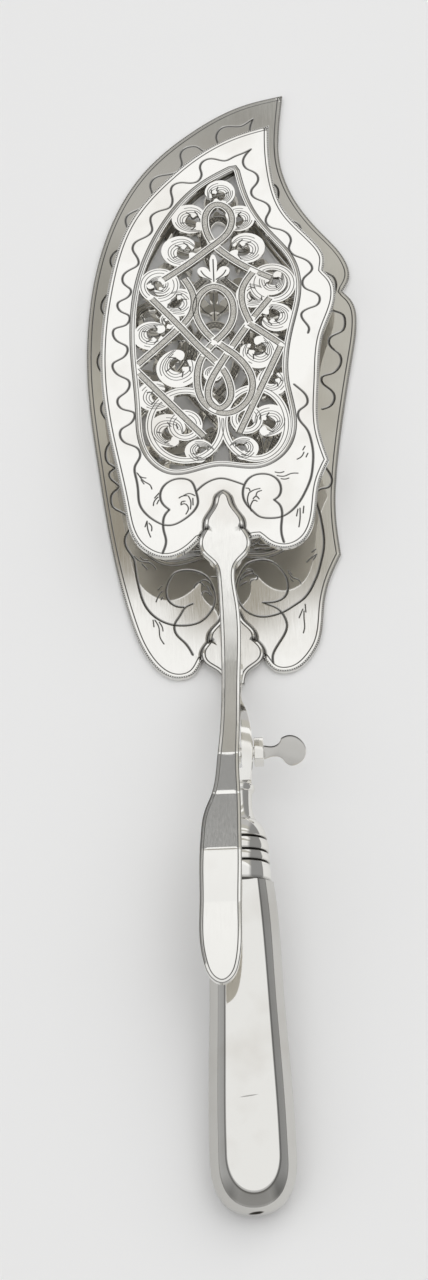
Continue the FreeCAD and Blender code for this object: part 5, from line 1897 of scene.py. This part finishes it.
@dataclass
class Studio:
    """Photographer's table: pale sheet, soft lamps, bright and grey panels that the silver mirrors."""

    elevation: float = 66.0
    roll: float = 2.15
    lens: float = 85.0
    distance: float = 852.0
    aim: tuple = (0.0, -7.61, 0.0)
    axis_pixel: float = 232.2
    middle_pixel: float = 214.0
    lens_pixels: float = 3022.0
    panels: tuple = ((0.0, "#BCBCBC"), (28.0, "#BCBCBC"), (30.0, "#959595"), (45.2, "#959595"),
                     (45.8, "#FFFFFF"), (55.1, "#FFFFFF"), (55.6, "#8E8E8A"), (56.5, "#9E9C98"),
                     (57.2, "#B4B2AE"), (58.2, "#B6B4AF"), (59.0, "#9C9A94"), (60.4, "#98958E"),
                     (61.3, "#B2AFA6"), (62.1, "#B8B5AB"), (63.0, "#979287"), (65.26, "#8E877A"),
                     (65.36, "#FCFCFC"), (68.0, "#FCFCFC"), (71.0, "#ECECEC"), (100.0, "#ECECEC"),
                     (106.0, "#CBCBCB"), (146.0, "#C4C4C4"), (162.0, "#A8A8A8"), (180.0, "#8C8C8C"))
    slant: float = -0.09
    hung_middle: float = 0.0053
    hung_half: float = 0.0155
    sheet_half: float = 3000.0
    sheet_level: float = -0.25

    def build(self) -> None:
        """Build the camera, the surroundings, the lamps and the table."""
        self.camera()
        self.surroundings()
        bpy.context.scene.view_settings.view_transform = "Standard"
        self.lamp("right_lamp", (0.75, 0.35, 1.15), 2.0, 8.8)
        self.lamp("left_lamp", (-0.85, -0.3, 1.15), 2.0, 6.2)
        self.table()

    def camera(self) -> None:
        """Place the camera where the photograph was taken."""
        tilt, roll = math.radians(90 - self.elevation), math.radians(self.roll)
        view = Vector((0, math.sin(tilt), -math.cos(tilt)))
        level_up = Vector((0, math.cos(tilt), math.sin(tilt)))
        right = math.cos(roll) * Vector((1, 0, 0)) - math.sin(roll) * level_up
        up = math.sin(roll) * Vector((1, 0, 0)) + math.cos(roll) * level_up
        data = bpy.data.cameras.new("camera")
        data.lens = self.lens
        data.sensor_fit = "AUTO"
        data.sensor_width = 36.0
        data.clip_start = 0.05
        camera = bpy.data.objects.new("camera", data)
        shift = (self.axis_pixel - self.middle_pixel) / self.lens_pixels
        place = Vector(self.aim) - self.distance * (view + shift * right)
        frame_axes = Matrix((right, up, -view)).transposed().to_4x4()
        camera.matrix_world = Matrix.Translation(place * MM) @ frame_axes
        bpy.context.scene.collection.objects.link(camera)
        bpy.context.scene.camera = camera

    def surroundings(self) -> None:
        """Build the world: bands of white and grey above the table, as the silver mirrors them."""
        world = bpy.data.worlds.new("surroundings")
        bpy.context.scene.world = world
        world.use_nodes = True
        tree = world.node_tree
        tree.nodes.clear()
        direction = add_node(tree, "ShaderNodeTexCoord").outputs["Generated"]
        parts = add_node(tree, "ShaderNodeSeparateXYZ", {0: direction}).outputs
        angle = add_node(tree, "ShaderNodeMath", {0: parts["Z"], 1: parts["Y"]}, operation="ARCTAN2")
        slanted = add_node(tree, "ShaderNodeMath", {0: parts["X"], 1: self.slant, 2: angle.outputs[0]},
                           operation="MULTIPLY_ADD")
        share = add_node(tree, "ShaderNodeMath", {0: slanted.outputs[0], 1: math.pi}, operation="DIVIDE")
        ramp = add_node(tree, "ShaderNodeValToRGB", {"Fac": share.outputs[0]})
        set_ramp(ramp, [(degrees / 180, colour) for degrees, colour in self.panels])
        # a lighter wall stands behind the right edge of the grey panel
        beside = add_node(tree, "ShaderNodeMapRange", {
            "Value": parts["X"], "From Min": 0.028, "From Max": 0.042})
        bands = add_node(tree, "ShaderNodeMix", {
            0: beside.outputs["Result"], 6: ramp.outputs["Color"], 7: linear("#BDBBB4")}, data_type="RGBA",
            blend_type="LIGHTEN")
        # the grey panel hangs lower in the middle, and is paler there
        off_middle = add_node(tree, "ShaderNodeMath", {0: parts["X"], 1: self.hung_middle},
                              operation="SUBTRACT")
        away = add_node(tree, "ShaderNodeMath", {0: off_middle.outputs[0]}, operation="ABSOLUTE")
        across = add_node(tree, "ShaderNodeMapRange", {
            "Value": away.outputs[0], "From Min": self.hung_half + 0.006, "From Max": self.hung_half - 0.002})
        above = add_node(tree, "ShaderNodeMapRange", {
            "Value": angle.outputs[0], "From Min": math.radians(64.6), "From Max": math.radians(65.2)})
        below = add_node(tree, "ShaderNodeMapRange", {
            "Value": angle.outputs[0], "From Min": math.radians(65.95), "From Max": math.radians(65.5)})
        height = add_node(tree, "ShaderNodeMath", {0: above.outputs["Result"], 1: below.outputs["Result"]},
                          operation="MULTIPLY")
        hung = add_node(tree, "ShaderNodeMath", {0: height.outputs[0], 1: across.outputs["Result"]},
                        operation="MULTIPLY")
        bands = add_node(tree, "ShaderNodeMix", {
            0: hung.outputs[0], 6: bands.outputs[2], 7: linear("#9A9488")}, data_type="RGBA",
            blend_type="DARKEN")
        right = add_node(tree, "ShaderNodeMapRange", {"Value": parts["X"], "From Min": 0.42, "From Max": 0.60})
        left = add_node(tree, "ShaderNodeMapRange", {"Value": parts["X"], "From Min": -0.42, "From Max": -0.60})
        with_right = add_node(tree, "ShaderNodeMix", {
            0: right.outputs["Result"], 6: bands.outputs[2], 7: linear("#909090")}, data_type="RGBA")
        with_left = add_node(tree, "ShaderNodeMix", {
            0: left.outputs["Result"], 6: with_right.outputs[2], 7: linear("#A6A6A6")}, data_type="RGBA")
        light = add_node(tree, "ShaderNodeBackground", {"Color": with_left.outputs[2], "Strength": 1.0})
        add_node(tree, "ShaderNodeOutputWorld", {"Surface": light.outputs[0]})

    def lamp(self, name: str, place: tuple, side: float, watts: float) -> None:
        """Add one soft square lamp that points at the object and is not mirrored in it.

        Args:
            name: Name of the lamp.
            place: Where it stands, in metres.
            side: Side of its square, in metres.
            watts: Its power.
        """
        data = bpy.data.lights.new(name, "AREA")
        data.size = side
        data.energy = watts
        lamp = bpy.data.objects.new(name, data)
        lamp.location = place
        lamp.rotation_euler = (Vector((0, 0, 0)) - Vector(place)).to_track_quat("-Z", "Y").to_euler()
        lamp.visible_glossy = False
        bpy.context.scene.collection.objects.link(lamp)

    def table(self) -> None:
        """Lay the pale sheet that the object rests on, matt paper that takes soft grey shadows."""
        material, tree = new_material("pale_sheet")
        shader = add_node(tree, "ShaderNodeBsdfPrincipled", {"Base Color": linear("#F4F4F4"), "Roughness": 0.9})
        add_node(tree, "ShaderNodeOutputMaterial", {"Surface": shader.outputs[0]})
        size, level = self.sheet_half, self.sheet_level
        corners = [(-size, -size, level), (size, -size, level), (size, size, level), (-size, size, level)]
        floor = new_piece("table_sheet", np.array(corners), [(0, 1, 2, 3)], material)


def main() -> None:
    """Build every sub-assembly in order."""
    blade = SilverFinish("polished_blade_silver").build()
    forged = SilverFinish("polished_forged_silver", roughness=0.08, wave_mm=14.0).build()
    end_nick = WornSpot(centre=(0.28, -172.38, 8.0), half_sizes=(2.4, 0.72, 3.0), turn=0.20, share=1.6)
    panel_scratch = WornSpot(centre=(-0.5, -143.96, 16.4), half_sizes=(2.7, 0.20, 2.0), turn=0.12, share=0.5)
    hollow = SilverFinish("polished_handle_silver", roughness=0.05, wave_mm=30.0,
                          worn=(end_nick, panel_scratch)).build()
    pitch = PitchFinish().build()
    Blade(name="lower_blade_sheet", node="lower_blade", unit=LEVEL, body=Body.SLICE, outline=LOWER_OUTLINE,
          corners=[0, 13, 14, 15, 22, 29], width=79.8, heel=29.1, length=192.6, top=-14.9, gauge=1.6,
          panel_width=54.4, panel_low=66.1, panel_high=194.1, waves=LOWER_WAVES, strokes=LOWER_STROKES,
          ground=Mark.HATCHED, shoulder=LOWER_SHOULDER).build(blade)
    Blade(name="upper_blade_sheet", node="upper_blade", unit=UPPER, body=Body.UPPER_UNIT, outline=UPPER_OUTLINE,
          corners=[0, 12, 13, 14, 15, 21, 27], width=69.3, heel=59.4, length=151.0, top=5.0, gauge=1.2,
          panel_width=47.3, panel_low=88.6, panel_high=194.2, waves=UPPER_WAVES, strokes=UPPER_STROKES,
          ground=Mark.MATTED, shoulder=UPPER_SHOULDER).build(blade)
    UpperLever().build(forged)
    Stem().build(forged)
    HingePin().build(forged)
    Ferrule().build(hollow)
    HandleHalf("handle_front_shell", "handle_front", 1, ((119.7, 7.55), (125.0, 6.9))).build(hollow)
    HandleHalf("handle_back_shell", "handle_back", -1, ((119.7, 6.75), (125.0, 6.1))).build(hollow)
    filling = bpy.data.objects["handle_filling"]
    for number in range(len(filling.data.materials)):
        filling.data.materials[number] = pitch
    Studio().build()


if __name__ == "__main__":
    main()
